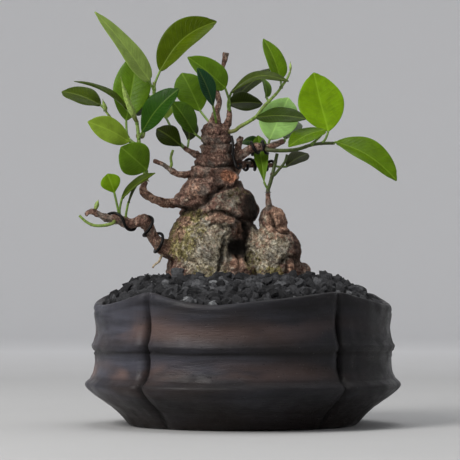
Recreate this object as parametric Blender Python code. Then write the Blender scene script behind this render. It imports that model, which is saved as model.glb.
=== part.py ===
"""A small fig bonsai growing in a five-lobed stoneware pot.

The tree is one grown mass of wood, with a swollen two-bulbed base, carrying green shoots
and leaves.  It sits in a mound of lava grit.  The pot stands on z = 0 with its centre on
the Z axis, and its broad front lobe faces -Y.  Tables are in millimetres.
"""
import math

import bmesh
import bpy
from mathutils import Vector, noise

MM = 0.001
GAP = 0.35                      # clearance between touching pieces

# Pot: five lobes between pinched channels, each given as (centre angle, width) in degrees.
LOBES = ((-90.0, 80.0), (-13.5, 73.0), (56.5, 67.0), (123.5, 67.0), (193.5, 73.0))
LOBE_STEPS = (-1.0, -0.88, -0.66, -0.34, 0.0, 0.34, 0.66, 0.88)
RIM_RADIUS = 71.0
RIM_HEIGHT = 57.0
RIM_RISE = 6.5                  # how far the rim lifts at the channels
FLARE_RADIUS = 75.2
RIDGE_RADIUS = 72.3
BASE_RADIUS = 54.0
WALL = 4.4
FLOOR = 6.5
CHANNEL_SHARE = 0.14            # part of a half lobe that the channel takes

DRAIN_RADIUS = 6.0
DRAIN_OFFSET = 22.0
MESH_RADIUS = 11.0
MESH_THICKNESS = 0.8

# Soil: a mound round the pocket that holds the buried root base.
MOUND_HEIGHT = 70.5
SOIL_BELOW_RIM = 2.0
ROOT_CENTRE = (-2.5, 0.5)
POCKET_TOP = (39.0, 24.5)
POCKET_FOOT = (28.0, 16.5)
POCKET_FLOOR = 46.0

LEAF_THICKNESS = 0.5
PETIOLE_RADIUS = 0.55
WIRE_RADIUS = 0.7

# Swellings of the wood: (centre, half axes).
LUMPS = (
    ((-17.5, 0.5, 84.0), (18.5, 19.5, 20.0)),       # main bulb
    ((-17.0, 0.5, 70.0), (19.5, 19.5, 18.0)),       # its foot in the soil
    ((15.0, -1.0, 82.0), (12.8, 14.0, 13.5)),       # second bulb
    ((15.0, -1.0, 71.0), (14.5, 14.0, 13.5)),
    ((14.3, -2.5, 96.0), (6.6, 6.6, 8.5)),          # knob on the second bulb
    ((26.5, 0.0, 72.0), (6.3, 7.0, 5.5)),           # right root flare
    ((-31.5, -2.0, 73.5), (4.6, 6.0, 9.0)),         # left root flare
    ((-2.0, -8.0, 72.5), (9.5, 8.0, 7.0)),
    ((1.0, 1.5, 82.5), (9.0, 12.5, 15.0)),          # wood between the bulbs
    ((0.0, 7.0, 76.0), (12.0, 10.0, 11.0)),
    ((-12.0, 0.0, 99.0), (17.5, 15.0, 12.0)),       # shoulder
    ((-22.0, -2.5, 109.5), (8.2, 9.5, 7.6)),
    ((-18.5, -8.0, 111.0), (9.0, 8.4, 6.4)),
    ((-27.5, -4.5, 106.6), (5.6, 7.0, 4.6)),
    ((-1.5, 0.5, 104.5), (8.0, 10.5, 8.5)),
    ((3.0, 2.0, 102.0), (4.6, 7.0, 6.0)),
    ((-7.2, -7.0, 117.2), (5.4, 4.4, 4.2)),         # pruning scar
    ((-25.0, -6.0, 108.0), (5.0, 6.0, 6.0)),        # root of the hooked branch
)
ROOT_BASE = ((-2.5, 0.5, 46.5), (25.5, 13.5), (-2.5, 0.5, 68.0), (32.0, 17.0))

# Woody limbs: name, route, radius at each point.
LIMBS = (
    ("axis",
     ((-13.5, 0, 92), (-13.8, 0, 104), (-14.0, 0, 110.5), (-14.8, 0, 115), (-14.0, 0, 118.5),
      (-13.6, 0, 122), (-12.9, 0, 124.6), (-12.7, 0, 129), (-12.6, 0, 132.6),
      (-12.9, 0, 135.2), (-12.9, 0, 139), (-12.8, 0, 141.4), (-12.4, 0, 143.2)),
     (15.0, 16.4, 14.8, 12.4, 11.2, 10.4, 8.2, 7.8, 8.0, 6.6, 6.9, 6.0, 4.0)),
    ("lower_left",
     ((-30.0, -4, 82.5), (-37.5, -9, 84.5), (-42.0, -12, 88.5), (-44.5, -14, 93.5),
      (-47.0, -15, 96.8), (-50.5, -16, 95.6), (-53.5, -16.5, 95.2), (-58.0, -17, 97.0),
      (-63.5, -17.5, 97.6), (-67.5, -18, 99.3), (-71.0, -18.5, 100.8), (-74.0, -19, 99.2)),
     (5.6, 3.9, 2.8, 2.6, 2.7, 2.1, 1.9, 1.9, 1.8, 1.6, 1.4, 1.1)),
    ("hooked",
     ((-24.0, -5, 106.5), (-30.0, -8, 105.5), (-35.0, -11, 105.0), (-40.0, -14, 106.0),
      (-44.5, -15.5, 108.0), (-46.8, -16, 110.3), (-46.8, -16, 112.8), (-45.6, -15.5, 115.2)),
     (4.2, 2.8, 2.3, 2.1, 2.0, 1.9, 1.6, 1.2)),
    ("upper_left",
     ((-18.0, -1, 119.0), (-23.0, -2, 119.4), (-27.0, -3, 119.0), (-31.5, -4, 119.4),
      (-34.5, -4.5, 121.3), (-38.5, -5, 124.0), (-42.5, -5, 125.6)),
     (3.0, 2.1, 1.7, 1.5, 1.4, 1.1, 1.0)),
    ("inner_left",
     ((-15.0, 1, 125.5), (-19.0, 2, 127.0), (-23.5, 4, 129.6), (-26.5, 5, 131.4),
      (-28.6, 5.5, 132.8)),
     (2.8, 2.1, 1.5, 1.2, 1.0)),
    ("right_fork",
     ((-10.0, 3, 118.0), (-4.5, 2.5, 120.0), (-2.4, 1, 124.0), (-2.4, -1, 130.0),
      (-2.0, -2.5, 133.5), (-0.6, -3.5, 137.2)),
     (3.2, 2.5, 2.2, 1.8, 1.6, 1.3)),
    ("right_main",
     ((-2.6, -0.5, 127.0), (0.0, -3, 128.6), (3.5, -5, 131.0), (7.0, -6, 132.0),
      (12.0, -7, 131.6), (16.0, -8, 133.2), (19.5, -9, 134.7)),
     (2.0, 2.1, 2.0, 2.0, 1.9, 1.5, 1.3)),
    ("right_back",
     ((-3.0, 2.5, 123.0), (0.5, 6, 124.4), (4.5, 10, 124.6), (10.5, 13.5, 124.4),
      (15.0, 16.5, 124.6)),
     (2.0, 1.8, 1.6, 1.4, 1.1)),
    ("crown",
     ((-12.8, -0.5, 141.0), (-12.6, -0.5, 149.0), (-11.2, 0, 153.5), (-12.4, 2, 159.0),
      (-11.5, 3, 165.0), (-9.6, 3, 171.0), (-8.5, 3, 175.0), (-8.0, 3, 178.0)),
     (2.9, 1.7, 1.4, 1.3, 1.2, 1.1, 1.3, 1.7)),
    ("crown_stub",
     ((-15.8, -1, 140.0), (-15.0, -1.8, 142.6), (-14.1, -2, 145.6), (-12.9, -2, 148.8)),
     (2.6, 2.1, 1.6, 1.5)),
    ("crown_right",
     ((-10.5, 0, 139.5), (-7.6, 0, 142.8), (-6.4, 0, 147.0), (-6.6, 0, 150.6)),
     (2.6, 2.0, 1.4, 1.1)),
    ("knob_stem",
     ((13.8, -3, 98.5), (12.7, -4, 104.0), (12.0, -4, 108.0), (12.0, -4, 110.4)),
     (3.4, 1.7, 1.3, 1.1)),
)

# Green shoots: name, route, radius at the foot and at the tip.
SHOOTS = (
    ("shoot_left", ((-45.6, -15.5, 117.0), (-46.5, -15, 120.5), (-48.0, -13, 126.5),
                    (-49.0, -12, 133.0), (-49.6, -11, 139.0), (-50.2, -10.2, 144.0)), 1.05, 0.8),
    ("shoot_left_top", ((-47.4, -8.6, 137.0), (-46.6, -7, 143.5), (-44.5, -6, 151.0),
                        (-42.3, -5.5, 157.0), (-42.2, -5.5, 163.0)), 0.95, 0.7),
    ("shoot_left_outer", ((-50.6, -10.6, 133.2), (-53.8, -8.5, 135.5), (-58.0, -6, 140.5),
                          (-62.4, -4.6, 145.4), (-65.6, -4, 149.6)), 0.75, 0.55),
    ("shoot_low_left", ((-60.6, -20.9, 95.4), (-65.0, -21.4, 94.2), (-69.6, -21.5, 94.2),
                        (-73.2, -21.7, 95.8), (-76.6, -22, 98.8)), 0.85, 0.6),
    ("shoot_upper_left", ((-33.9, -5.0, 123.6), (-34.2, -5.3, 127.0), (-33.2, -5.2, 130.6)),
     0.75, 0.6),
    ("shoot_right_top", ((-4.4, -3.6, 139.8), (-1.5, -6, 141.6), (3.0, -8, 144.0),
                         (6.5, -9, 146.4), (9.5, -9, 150.5), (13.0, -8, 154.2),
                         (16.5, -7, 158.0), (19.0, -6, 161.5), (21.2, -5, 164.8),
                         (22.6, -4, 168.0)), 1.0, 0.5),
    ("shoot_right", ((11.6, -10.2, 130.4), (17.5, -11.8, 129.9), (23.0, -11.8, 130.1),
                     (27.5, -11.2, 131.0), (31.5, -10.6, 132.4), (36.5, -9.6, 133.4),
                     (43.0, -9, 133.6)), 1.0, 0.75),
    ("shoot_knob", ((12.1, -4, 112.0), (13.4, -4.2, 116.0), (15.0, -3.6, 122.5),
                    (16.4, -2.6, 129.0)), 1.0, 0.8),
    ("shoot_knob_side", ((14.9, -6.0, 118.6), (17.0, -7.6, 121.0), (19.8, -9, 124.5),
                         (21.0, -9.4, 128.2)), 0.75, 0.6),
)

# Leaves: name, petiole start, blade base, blade tip, half width, turn, fold, arch, widest.
# turn is how far the face leans from the front towards the top, fold the V along the
# midrib (both in degrees), arch the bow of the midrib, widest where the blade is broadest.
# A last value, where there is one, is the sideways bow of the blade.
LEAVES = (
    ("top_left_narrow", (-43.8, -7.0, 158.6), (-44.6, -7.4, 163.5),
     (-70.0, -14, 195.5), 6.6, 44, 12, 1.5, 0.30),
    ("top_left_broad", (-40.3, -4.9, 159.4), (-39.4, -4.0, 168.5), (-12.5, 3, 193.0),
     9.2, 22, 30, 3.0, 0.48, 3.2),
    ("left_round_back", (-52.8, -6.8, 137.6), (-55.6, -2.5, 145.0), (-50.5, 4, 178.0),
     9.2, 8, 8, -1.0, 0.50),
    ("left_edge_on", (-51.7, -11.9, 142.2), (-54.8, -13, 149.5), (-80.0, -9, 163.0),
     6.0, 78, 18, 2.5, 0.45),
    ("left_outer_dark", (-66.6, -3.4, 150.4), (-67.8, -2.8, 152.2), (-87.0, 6, 159.5),
     6.4, 42, 14, 1.5, 0.48),
    ("left_light", (-50.8, -13.8, 132.4), (-53.6, -16.5, 133.8), (-72.5, -25, 142.5),
     6.8, 28, 10, 1.5, 0.50),
    ("hook_round", (-46.0, -17.6, 117.4), (-45.2, -18.8, 120.4), (-57.0, -26, 130.6),
     8.4, 5, 8, 1.0, 0.50),
    ("left_front_dark", (-47.8, -13.2, 135.0), (-47.3, -15.5, 138.5),
     (-30.0, -24, 158.0), 7.4, 34, 16, 2.5, 0.50),
    ("low_narrow", (-56.0, -18.8, 99.8), (-56.6, -20.5, 107.0), (-41.0, -25, 118.5),
     4.2, 58, 24, 1.0, 0.45),
    ("low_slim", (-53.6, -18.8, 98.4), (-53.8, -19.6, 104.8), (-46.4, -21.5, 117.0),
     1.6, 66, 20, 0.8, 0.45),
    ("low_heart", (-57.6, -18.4, 101.2), (-60.2, -21.5, 109.4), (-63.2, -25, 118.2),
     4.8, 4, 6, 0.6, 0.60),
    ("upper_left_dark", (-29.8, 3.2, 133.4), (-29.6, 0.0, 133.0), (-41.2, 1, 141.2),
     5.9, 26, 12, 1.0, 0.56),
    ("centre_back", (-15.8, 5.0, 146.4), (-20.5, 8.5, 150.5), (-29.5, 17, 169.6),
     8.2, 14, 10, 1.0, 0.50),
    ("centre_blue", (-10.2, -4.4, 146.8), (-14.2, -10.5, 151.5), (-21.5, -18, 168.5),
     5.0, 38, 20, 1.0, 0.52),
    ("centre_top", (-8.6, -3.0, 149.0), (-8.4, -5.0, 160.2), (-26.2, -10, 174.4),
     7.4, 30, 22, 1.2, 0.38),
    ("centre_fold", (-22.0, -0.6, 131.4), (-23.4, -3.0, 139.0), (-33.5, -7.5, 153.5),
     6.2, 26, 26, 1.0, 0.50),
    ("left_back_dark", (-42.6, -2.6, 155.6), (-44.4, 1.0, 156.6), (-53.5, 15, 151.5),
     6.0, 20, 10, 1.0, 0.50),
    ("back_yellow", (-31.0, 8.0, 134.6), (-37.0, 17.0, 147.5), (-41.0, 29, 161.0),
     5.6, 30, 12, 1.0, 0.50),
    ("centre_dark", (-25.6, 8.6, 132.8), (-26.0, 11.0, 136.5), (-27.5, 24, 150.5),
     5.4, 36, 14, 1.0, 0.50),
    ("right_arch", (-5.2, -2.6, 148.4), (-5.4, -2.0, 158.4), (21.8, -9, 163.0),
     5.6, 60, 10, 5.6, 0.46),
    ("right_upright", (16.2, -3.4, 160.8), (18.0, -1.0, 165.0), (10.0, 6, 185.0),
     5.6, 32, 18, 1.5, 0.36),
    ("right_back_long", (-5.4, 3.2, 150.4), (-5.0, 10.5, 155.8), (14.0, 24, 172.6),
     5.0, 44, 14, 0.6, 0.50),
    ("right_dark_point", (-5.2, 2.2, 149.6), (-6.4, 2.4, 153.4), (9.6, 8, 153.8),
     6.2, 36, 14, 1.0, 0.42),
    ("right_slim_back", (11.8, -6.0, 153.8), (11.4, -2.0, 156.0), (9.0, 8, 167.0),
     3.8, 56, 20, 1.0, 0.50),
    ("right_pale_back", (12.8, -3.6, 133.4), (13.0, 2.0, 136.2), (22.2, 13, 157.2),
     9.6, 8, 10, 1.0, 0.46),
    ("right_flat", (4.2, -10.6, 145.4), (6.5, -13.2, 145.4), (29.5, -22, 144.0),
     6.4, 48, 10, 1.5, 0.48),
    ("right_grey_back", (20.6, -6.6, 134.8), (20.6, 10, 137.2), (26.0, 26, 147.0),
     5.8, 20, 12, 1.0, 0.50),
    ("right_big_round", (37.5, -7.4, 135.2), (40.6, -7.0, 139.5), (34.0, -1, 168.0),
     11.2, 8, 9, -1.5, 0.48),
    ("right_edge_bright", (32.6, -12.8, 133.8), (38.4, -17, 139.2),
     (21.2, -27, 130.6), 7.2, 54, 10, 1.5, 0.46),
    ("far_right_drooping", (44.4, -9.0, 133.6), (44.4, -9.6, 134.0),
     (72.0, -20, 115.2), 8.2, 34, 30, 2.5, 0.48, 1.5),
    ("right_hanging", (11.4, -6.3, 111.4), (10.2, -5.2, 115.2), (7.4, 7.0, 138.4),
     4.7, 4, 36, 0.6, 0.62),
    ("right_back_dull", (16.6, 17.6, 124.6), (21.2, 20, 124.2), (32.2, 30, 131.2),
     4.8, 38, 14, 1.0, 0.55),
    ("right_small_arch", (4.5, 8.4, 129.8), (8.6, 11.0, 134.0), (-0.4, 17, 135.8),
     3.6, 40, 12, 1.8, 0.50),
)

# Folded sheaths that hide the growing tips: name, foot, tip, radius.
BUDS = (
    ("bud_left_sheath", (-50.3, -13.4, 143.6), (-57.6, -16.5, 164.5), 1.5),
    ("bud_left_outer", (-64.6, -6.2, 149.2), (-66.6, -7.6, 154.8), 0.9),
    ("bud_crown_left", (-11.2, 0.8, 168.0), (-13.2, -1.0, 174.0), 1.1),
    ("bud_right_tip", (22.9, -3.8, 168.8), (22.8, -3.4, 173.0), 0.6),
    ("bud_low_left", (-69.0, -18.4, 102.4), (-67.8, -18.0, 106.4), 1.05),
)


def remove_everything():
    for item in list(bpy.data.objects):
        bpy.data.objects.remove(item, do_unlink=True)


def material(name, colour, roughness, metallic=0.0):
    """A named Principled material, made once."""
    found = bpy.data.materials.get(name)
    if found:
        return found
    made = bpy.data.materials.new(name)
    made.use_nodes = True
    shader = made.node_tree.nodes["Principled BSDF"]
    shader.inputs["Base Color"].default_value = (*colour, 1.0)
    shader.inputs["Roughness"].default_value = roughness
    shader.inputs["Metallic"].default_value = metallic
    return made


STONEWARE = ("stoneware", (0.035, 0.031, 0.034), 0.55)
GRIT = ("lava_grit", (0.045, 0.047, 0.050), 0.95)
BARK = ("bark", (0.20, 0.13, 0.09), 0.85)
GREEN_STEM = ("green_stem", (0.24, 0.36, 0.07), 0.50)
LEAF = ("leaf", (0.10, 0.25, 0.03), 0.40)
SHEATH = ("bud_sheath", (0.30, 0.42, 0.10), 0.45)
ROOT = ("aerial_root", (0.55, 0.45, 0.30), 0.80)
WIRE = ("black_wire", (0.02, 0.02, 0.02), 0.45, 0.9)
SCREEN = ("screen_plastic", (0.03, 0.03, 0.03), 0.60)


def add_object(name, mesh_data, finish):
    item = bpy.data.objects.new(name, mesh_data)
    bpy.context.scene.collection.objects.link(item)
    mesh_data.materials.append(material(*finish))
    return item


def rings_to_bmesh(rings):
    """Joins rings of points (mm) into a closed skin, with a flat cap on each end."""
    skin = bmesh.new()
    loops = [[skin.verts.new(point * MM) for point in ring] for ring in rings]
    for lower, upper in zip(loops, loops[1:]):
        count = len(lower)
        for index in range(count):
            after = (index + 1) % count
            skin.faces.new((lower[index], lower[after], upper[after], upper[index]))
    skin.faces.new(list(reversed(loops[0])))
    skin.faces.new(loops[-1])
    return skin


def object_from_rings(name, rings, finish):
    skin = rings_to_bmesh(rings)
    bmesh.ops.recalc_face_normals(skin, faces=skin.faces)
    mesh_data = bpy.data.meshes.new(name)
    skin.to_mesh(mesh_data)
    skin.free()
    mesh_data.shade_smooth()
    mesh_data.set_sharp_from_angle(angle=math.radians(40))
    return add_object(name, mesh_data, finish)


def smooth_route(points, steps):
    """Catmull-Rom curve through the points, with a number of steps between each two."""
    route = [Vector(point) for point in points]
    padded = [route[0] * 2 - route[1]] + route + [route[-1] * 2 - route[-2]]
    curve = []
    for index in range(1, len(padded) - 2):
        before, start, end, after = padded[index - 1:index + 3]
        for step in range(steps):
            t = step / steps
            curve.append(0.5 * (2 * start + (end - before) * t
                                + (2 * before - 5 * start + 4 * end - after) * t ** 2
                                + (3 * start - before - 3 * end + after) * t ** 3))
    curve.append(route[-1])
    return curve


def spread(values, steps):
    """The values at the points of smooth_route, in straight steps."""
    wide = []
    for start, end in zip(values, values[1:]):
        wide += [start + (end - start) * step / steps for step in range(steps)]
    return wide + [values[-1]]


def carried_frames(route):
    """A pair of cross directions at each point, carried along without twist."""
    frames = []
    side = None
    for index, point in enumerate(route):
        ahead = route[min(index + 1, len(route) - 1)]
        behind = route[max(index - 1, 0)]
        along = (ahead - behind).normalized()
        if side is None:
            helper = Vector((0, 0, 1)) if abs(along.z) < 0.8 else Vector((0, -1, 0))
            side = along.cross(helper).normalized()
        side = (side - along * side.dot(along)).normalized()
        frames.append((side, along.cross(side)))
    return frames


def tube_rings(route, radii, sides):
    rings = []
    for point, radius, (side, up) in zip(route, radii, carried_frames(route)):
        rings.append([point + radius * (math.cos(turn) * side + math.sin(turn) * up)
                      for turn in (2 * math.pi * k / sides for k in range(sides))])
    return rings


# ---------------------------------------------------------------- pot and soil

# Outer profile at a lobe's centre: radius, height, pinch of the lobe's ends, channel depth.
POT_OUTSIDE = (
    (BASE_RADIUS - 1.2, 0.0, 0.0, 0.3),
    (BASE_RADIUS + 0.8, 1.0, 0.0, 0.6),
    (59.6, 6.2, 0.3, 1.4),
    (65.2, 10.6, 0.6, 1.8),
    (70.4, 14.2, 0.9, 2.0),
    (FLARE_RADIUS - 0.8, 17.6, 1.2, 2.2),
    (FLARE_RADIUS, 19.8, 1.2, 2.2),
    (73.2, 22.2, 1.4, 2.6),
    (71.4, 25.5, 1.6, 3.0),
    (70.7, 31.0, 1.8, 3.2),
    (RIDGE_RADIUS - 0.5, 35.8, 1.8, 3.0),
    (RIDGE_RADIUS, 37.8, 1.8, 3.0),
    (RIDGE_RADIUS - 1.0, 40.0, 1.8, 3.0),
    (70.2, 46.0, 2.0, 3.2),
    (RIM_RADIUS, 53.5, 2.2, 3.0),
    (RIM_RADIUS - 0.6, RIM_HEIGHT - 0.6, 2.2, 3.0),
    (RIM_RADIUS - 2.0, RIM_HEIGHT, 2.2, 2.6),
)
POT_INSIDE = (
    (RIM_RADIUS - WALL, RIM_HEIGHT - 1.0, 2.2, 2.0),
    (RIM_RADIUS - WALL - 0.6, 50.0, 2.0, 1.8),
    (RIM_RADIUS - WALL - 1.0, 26.0, 2.0, 1.8),
    (61.0, 15.0, 1.2, 1.2),
    (50.0, FLOOR + 0.6, 0.5, 0.4),
    (46.5, FLOOR, 0.4, 0.2),
)


def pot_ring(radius, height, pinch, channel, inset=0.0):
    """One ring of the pot: lobes between channels, lifting at the channels near the rim."""
    lift_share = min(max((height - 30.0) / (RIM_HEIGHT - 30.0), 0.0), 1.0) ** 1.5
    ring = []
    for centre, width in LOBES:
        for step in LOBE_STEPS:
            angle = math.radians(centre + step * width / 2)
            groove = max(0.0, 1 - (1 - abs(step)) / CHANNEL_SHARE)
            reach = radius - inset - pinch * step ** 2 - channel * groove
            level = height + RIM_RISE * lift_share * abs(step) ** 2.2
            ring.append(Vector((reach * math.cos(angle), reach * math.sin(angle), level)))
    return ring


def cut_with(target, cutter):
    """Cuts one object by another, which stays behind as a guide."""
    cutter.hide_render = True
    cutter.display_type = "WIRE"
    cut = target.modifiers.new("cut", "BOOLEAN")
    cut.operation = "DIFFERENCE"
    cut.object = cutter
    cut.solver = "EXACT"


def upright_disc(x, y, low, high, radius, sides=20):
    return [[Vector((x + radius * math.cos(2 * math.pi * k / sides),
                     y + radius * math.sin(2 * math.pi * k / sides), level))
             for k in range(sides)] for level in (low, high)]


def make_pot():
    rings = [pot_ring(*row) for row in POT_OUTSIDE + POT_INSIDE]
    pot = object_from_rings("pot", rings, STONEWARE)
    for side in (-1, 1):
        hole = upright_disc(side * DRAIN_OFFSET, 0, -2.0, FLOOR + 2.0, DRAIN_RADIUS)
        cut_with(pot, object_from_rings(f"drain_cutter_{side}", hole, STONEWARE))


def make_drain_screens():
    low = FLOOR + GAP
    for name, side in (("drain_screen_left", -1), ("drain_screen_right", 1)):
        disc = upright_disc(side * DRAIN_OFFSET, 0, low, low + MESH_THICKNESS, MESH_RADIUS)
        object_from_rings(name, disc, SCREEN)


def pocket_ring(half_axes, level):
    """An oval outline round the root base, with as many points as a pot ring."""
    ring = []
    for centre, width in LOBES:
        for step in LOBE_STEPS:
            angle = math.radians(centre + step * width / 2)
            across = Vector((math.cos(angle) / half_axes[0], math.sin(angle) / half_axes[1]))
            reach = 1 / (abs(across.x) ** 2.4 + abs(across.y) ** 2.4) ** (1 / 2.4)
            ring.append(Vector((ROOT_CENTRE[0] + reach * math.cos(angle),
                                ROOT_CENTRE[1] + reach * math.sin(angle), level)))
    return ring


def mound_ring(outer, inner, share):
    """A ring of the mound's top, partly from the wall to the pocket, slightly uneven."""
    rise = math.sin(share * math.pi / 2)
    ring = []
    for far, near in zip(outer, inner):
        spot = far.lerp(near, share)
        spot.z = far.z + (MOUND_HEIGHT - far.z) * rise
        spot.z += 1.2 * noise.noise(Vector((spot.x, spot.y, 0)) * 0.08) * min(share * 4, 1)
        ring.append(spot)
    return ring


def make_soil():
    inside = [row for row in reversed(POT_INSIDE) if row[1] < RIM_HEIGHT - SOIL_BELOW_RIM]
    low = FLOOR + 2 * GAP + MESH_THICKNESS
    wall = [pot_ring(*row, inset=GAP + 0.1) for row in inside[1:]]
    floor = [[Vector((point.x, point.y, low)) for point in pot_ring(*inside[0], inset=1.0)]]
    wall[0] = [point + Vector((0, 0, low - point.z)) for point in wall[0]]
    edge = pot_ring(RIM_RADIUS - WALL - 0.2, RIM_HEIGHT - SOIL_BELOW_RIM, 2.1, 2.0,
                    inset=GAP + 0.1)
    pocket_top = pocket_ring(POCKET_TOP, MOUND_HEIGHT)
    mound = [mound_ring(edge, pocket_top, share) for share in (0.0, 0.2, 0.4, 0.62, 0.82, 1.0)]
    pocket = [pocket_ring(POCKET_FOOT, POCKET_FLOOR)]
    object_from_rings("soil", floor + wall + mound + pocket, GRIT)


# ---------------------------------------------------------------- tree

def add_lump(skin, centre, half_axes, segments=20):
    made = bmesh.ops.create_uvsphere(skin, u_segments=segments, v_segments=segments // 2,
                                     radius=1.0)
    for vertex in made["verts"]:
        vertex.co = Vector(vertex.co[axis] * half_axes[axis] + centre[axis]
                           for axis in range(3)) * MM


def root_base_rings():
    foot, foot_axes, top, top_axes = ROOT_BASE
    sides = 24
    rings = []
    for centre, axes in ((foot, foot_axes), (top, top_axes)):
        rings.append([Vector((centre[0] + axes[0] * math.cos(2 * math.pi * k / sides),
                              centre[1] + axes[1] * math.sin(2 * math.pi * k / sides),
                              centre[2])) for k in range(sides)])
    return rings


def merge_into(skin, extra):
    """Adds a closed skin's mesh to another."""
    bmesh.ops.recalc_face_normals(extra, faces=extra.faces)
    carrier = bpy.data.meshes.new("carrier")
    extra.to_mesh(carrier)
    extra.free()
    skin.from_mesh(carrier)
    bpy.data.meshes.remove(carrier)


def make_trunk():
    """The grown wood: swellings and limbs run together into one skin."""
    skin = bmesh.new()
    for centre, half_axes in LUMPS:
        add_lump(skin, centre, half_axes)
    merge_into(skin, rings_to_bmesh(root_base_rings()))
    for _, points, radii in LIMBS:
        route = smooth_route(points, 3)
        rings = tube_rings(route, spread(radii, 3), 12)
        merge_into(skin, rings_to_bmesh(rings))
    mesh_data = bpy.data.meshes.new("trunk")
    skin.to_mesh(mesh_data)
    skin.free()
    trunk = add_object("trunk", mesh_data, BARK)
    remesh = trunk.modifiers.new("grow_together", "REMESH")
    remesh.mode = "VOXEL"
    remesh.voxel_size = 0.75 * MM
    thin = trunk.modifiers.new("thin_out", "DECIMATE")
    thin.ratio = 0.036


def make_shoots():
    for name, points, foot_radius, tip_radius in SHOOTS:
        route = smooth_route(points, 2)
        count = len(route) - 1
        radii = [foot_radius + (tip_radius - foot_radius) * k / count for k in range(count + 1)]
        object_from_rings(name, tube_rings(route, radii, 6), GREEN_STEM)


def blade_width(share, widest):
    """Outline of a fig leaf: 0 at the base and tip, 1 where it is broadest."""
    if share <= 0.0 or share >= 1.0:
        return 0.0
    warped = share ** (math.log(0.5) / math.log(widest))
    return math.sin(math.pi * warped) ** 0.72


def blade_axes(base, tip, turn):
    """The blade's length direction and its face direction."""
    along = (tip - base).normalized()
    front = Vector((0, -1, 0))
    front = (front - along * front.dot(along)).normalized()
    top = along.cross(front)
    if top.z < 0:
        top = -top
    lean = math.radians(turn)
    return along, front * math.cos(lean) + top * math.sin(lean)


def leaf_section(centre, side, face, half_width, half_thickness, fold):
    """One closed cross section: upper side out and back along the lower side."""
    slope = math.radians(fold)
    section = []
    for across, layer in ((1, 0), (0.5, 1), (0, 1), (-0.5, 1), (-1, 0), (-0.5, -1), (0, -1),
                          (0.5, -1)):
        swell = half_thickness * layer * (1.0 if across == 0 else 0.85)
        section.append(centre + side * across * half_width * math.cos(slope)
                       + face * (abs(across) * half_width * math.sin(slope) + swell))
    return section


def make_leaf(name, start, base, tip, half_width, turn, fold, arch, widest, sway=0.0):
    """A petiole that widens into a folded, bowed blade, as one skin."""
    start, base, tip = Vector(start), Vector(base), Vector(tip)
    along, face = blade_axes(base, tip, turn)
    length = (tip - base).length
    bend = (start + base) / 2 - along * (base - start).length * 0.12
    centres = [start, bend, base]
    widths = [PETIOLE_RADIUS] * 3
    folds = [0.0, 0.0, fold * 0.5]
    sideways = along.cross(face)
    bow = face * arch + sideways * math.copysign(sway, sideways.z)
    for share in (0.12, 0.3, 0.5, 0.72, 0.9, 1.0):
        centres.append(base + along * length * share + bow * math.sin(math.pi * share))
        widths.append(max(half_width * blade_width(share, widest), 0.35))
        folds.append(fold)
    rings = []
    for index, centre in enumerate(centres):
        ahead = centres[min(index + 1, len(centres) - 1)]
        behind = centres[max(index - 1, 0)]
        forward = (ahead - behind).normalized()
        side = forward.cross(face).normalized()
        normal = side.cross(forward)
        thick = PETIOLE_RADIUS if index < 3 else LEAF_THICKNESS / 2
        rings.append(leaf_section(centre, side, normal, widths[index], thick, folds[index]))
    object_from_rings(f"leaf_{name}", rings, LEAF)


def make_buds():
    for name, foot, tip, radius in BUDS:
        foot, tip = Vector(foot), Vector(tip)
        route = [foot.lerp(tip, share) for share in (0.0, 0.25, 0.6, 1.0)]
        radii = [radius * scale for scale in (0.6, 1.0, 0.7, 0.2)]
        object_from_rings(name, tube_rings(route, radii, 8), SHEATH)


def make_aerial_root():
    route = smooth_route(((-38.6, -10.5, 79.8), (-39.6, -10.8, 77.5), (-42.0, -11.2, 75.4)), 2)
    object_from_rings("aerial_root", tube_rings(route, [0.6, 0.55, 0.5, 0.45, 0.4], 6), ROOT)


def coil_route(points, radii, turns, clearance):
    """A helix of wire wound round a limb, given the turns reached at each of its points."""
    fine = smooth_route(points, COIL_STEPS)
    girth = spread(radii, COIL_STEPS)
    wound = spread(turns, COIL_STEPS)
    coil = []
    for middle, radius, turn, (side, up) in zip(fine, girth, wound, carried_frames(fine)):
        angle = 2 * math.pi * turn
        reach = radius + clearance
        coil.append(middle + reach * (math.cos(angle) * side + math.sin(angle) * up))
    return coil


COIL_STEPS = 8
BARK_CLEARANCE = 0.75           # from a wire's skin to the limb that it is wound round
# Wires wound round a limb: name, limb, its first wound point, turns reached at each point.
WOUND_WIRES = (
    ("wire_lower_left", "lower_left", 1, (-0.05, 0.88, 1.42, 1.90, 2.08, 2.28, 2.58, 2.85)),
    ("wire_right", "right_main", 2, (0.3, 1.3, 2.3)),
    ("wire_back", "right_back", 1, (0.0, 1.0, 2.0, 3.0)),
)
# The wire end that hugs the neck of the trunk and closes in a loop.
NECK_WIRE = ((-5.4, -4.8, 137.2), (-4.7, -6.8, 133.6), (-4.7, -7.6, 130.0),
             (-4.3, -7.9, 126.5), (-3.7, -8.4, 124.2), (-3.2, -8.9, 122.6),
             (-2.0, -8.4, 121.8), (-1.0, -7.0, 122.4), (-1.5, -5.4, 124.0))


def make_wires():
    routes = {"wire_neck": smooth_route(NECK_WIRE, 3)}
    for name, limb_name, first, turns in WOUND_WIRES:
        _, points, radii = next(row for row in LIMBS if row[0] == limb_name)
        last = first + len(turns)
        routes[name] = coil_route(points[first:last], radii[first:last], turns,
                                  WIRE_RADIUS + BARK_CLEARANCE)
    for name, route in routes.items():
        rings = tube_rings(route, [WIRE_RADIUS] * len(route), 6)
        object_from_rings(name, rings, WIRE)


remove_everything()
make_pot()
make_drain_screens()
make_soil()
make_trunk()
make_shoots()
for leaf_row in LEAVES:
    make_leaf(*leaf_row)
make_buds()
make_aerial_root()
make_wires()
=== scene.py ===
import math
import random

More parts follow.
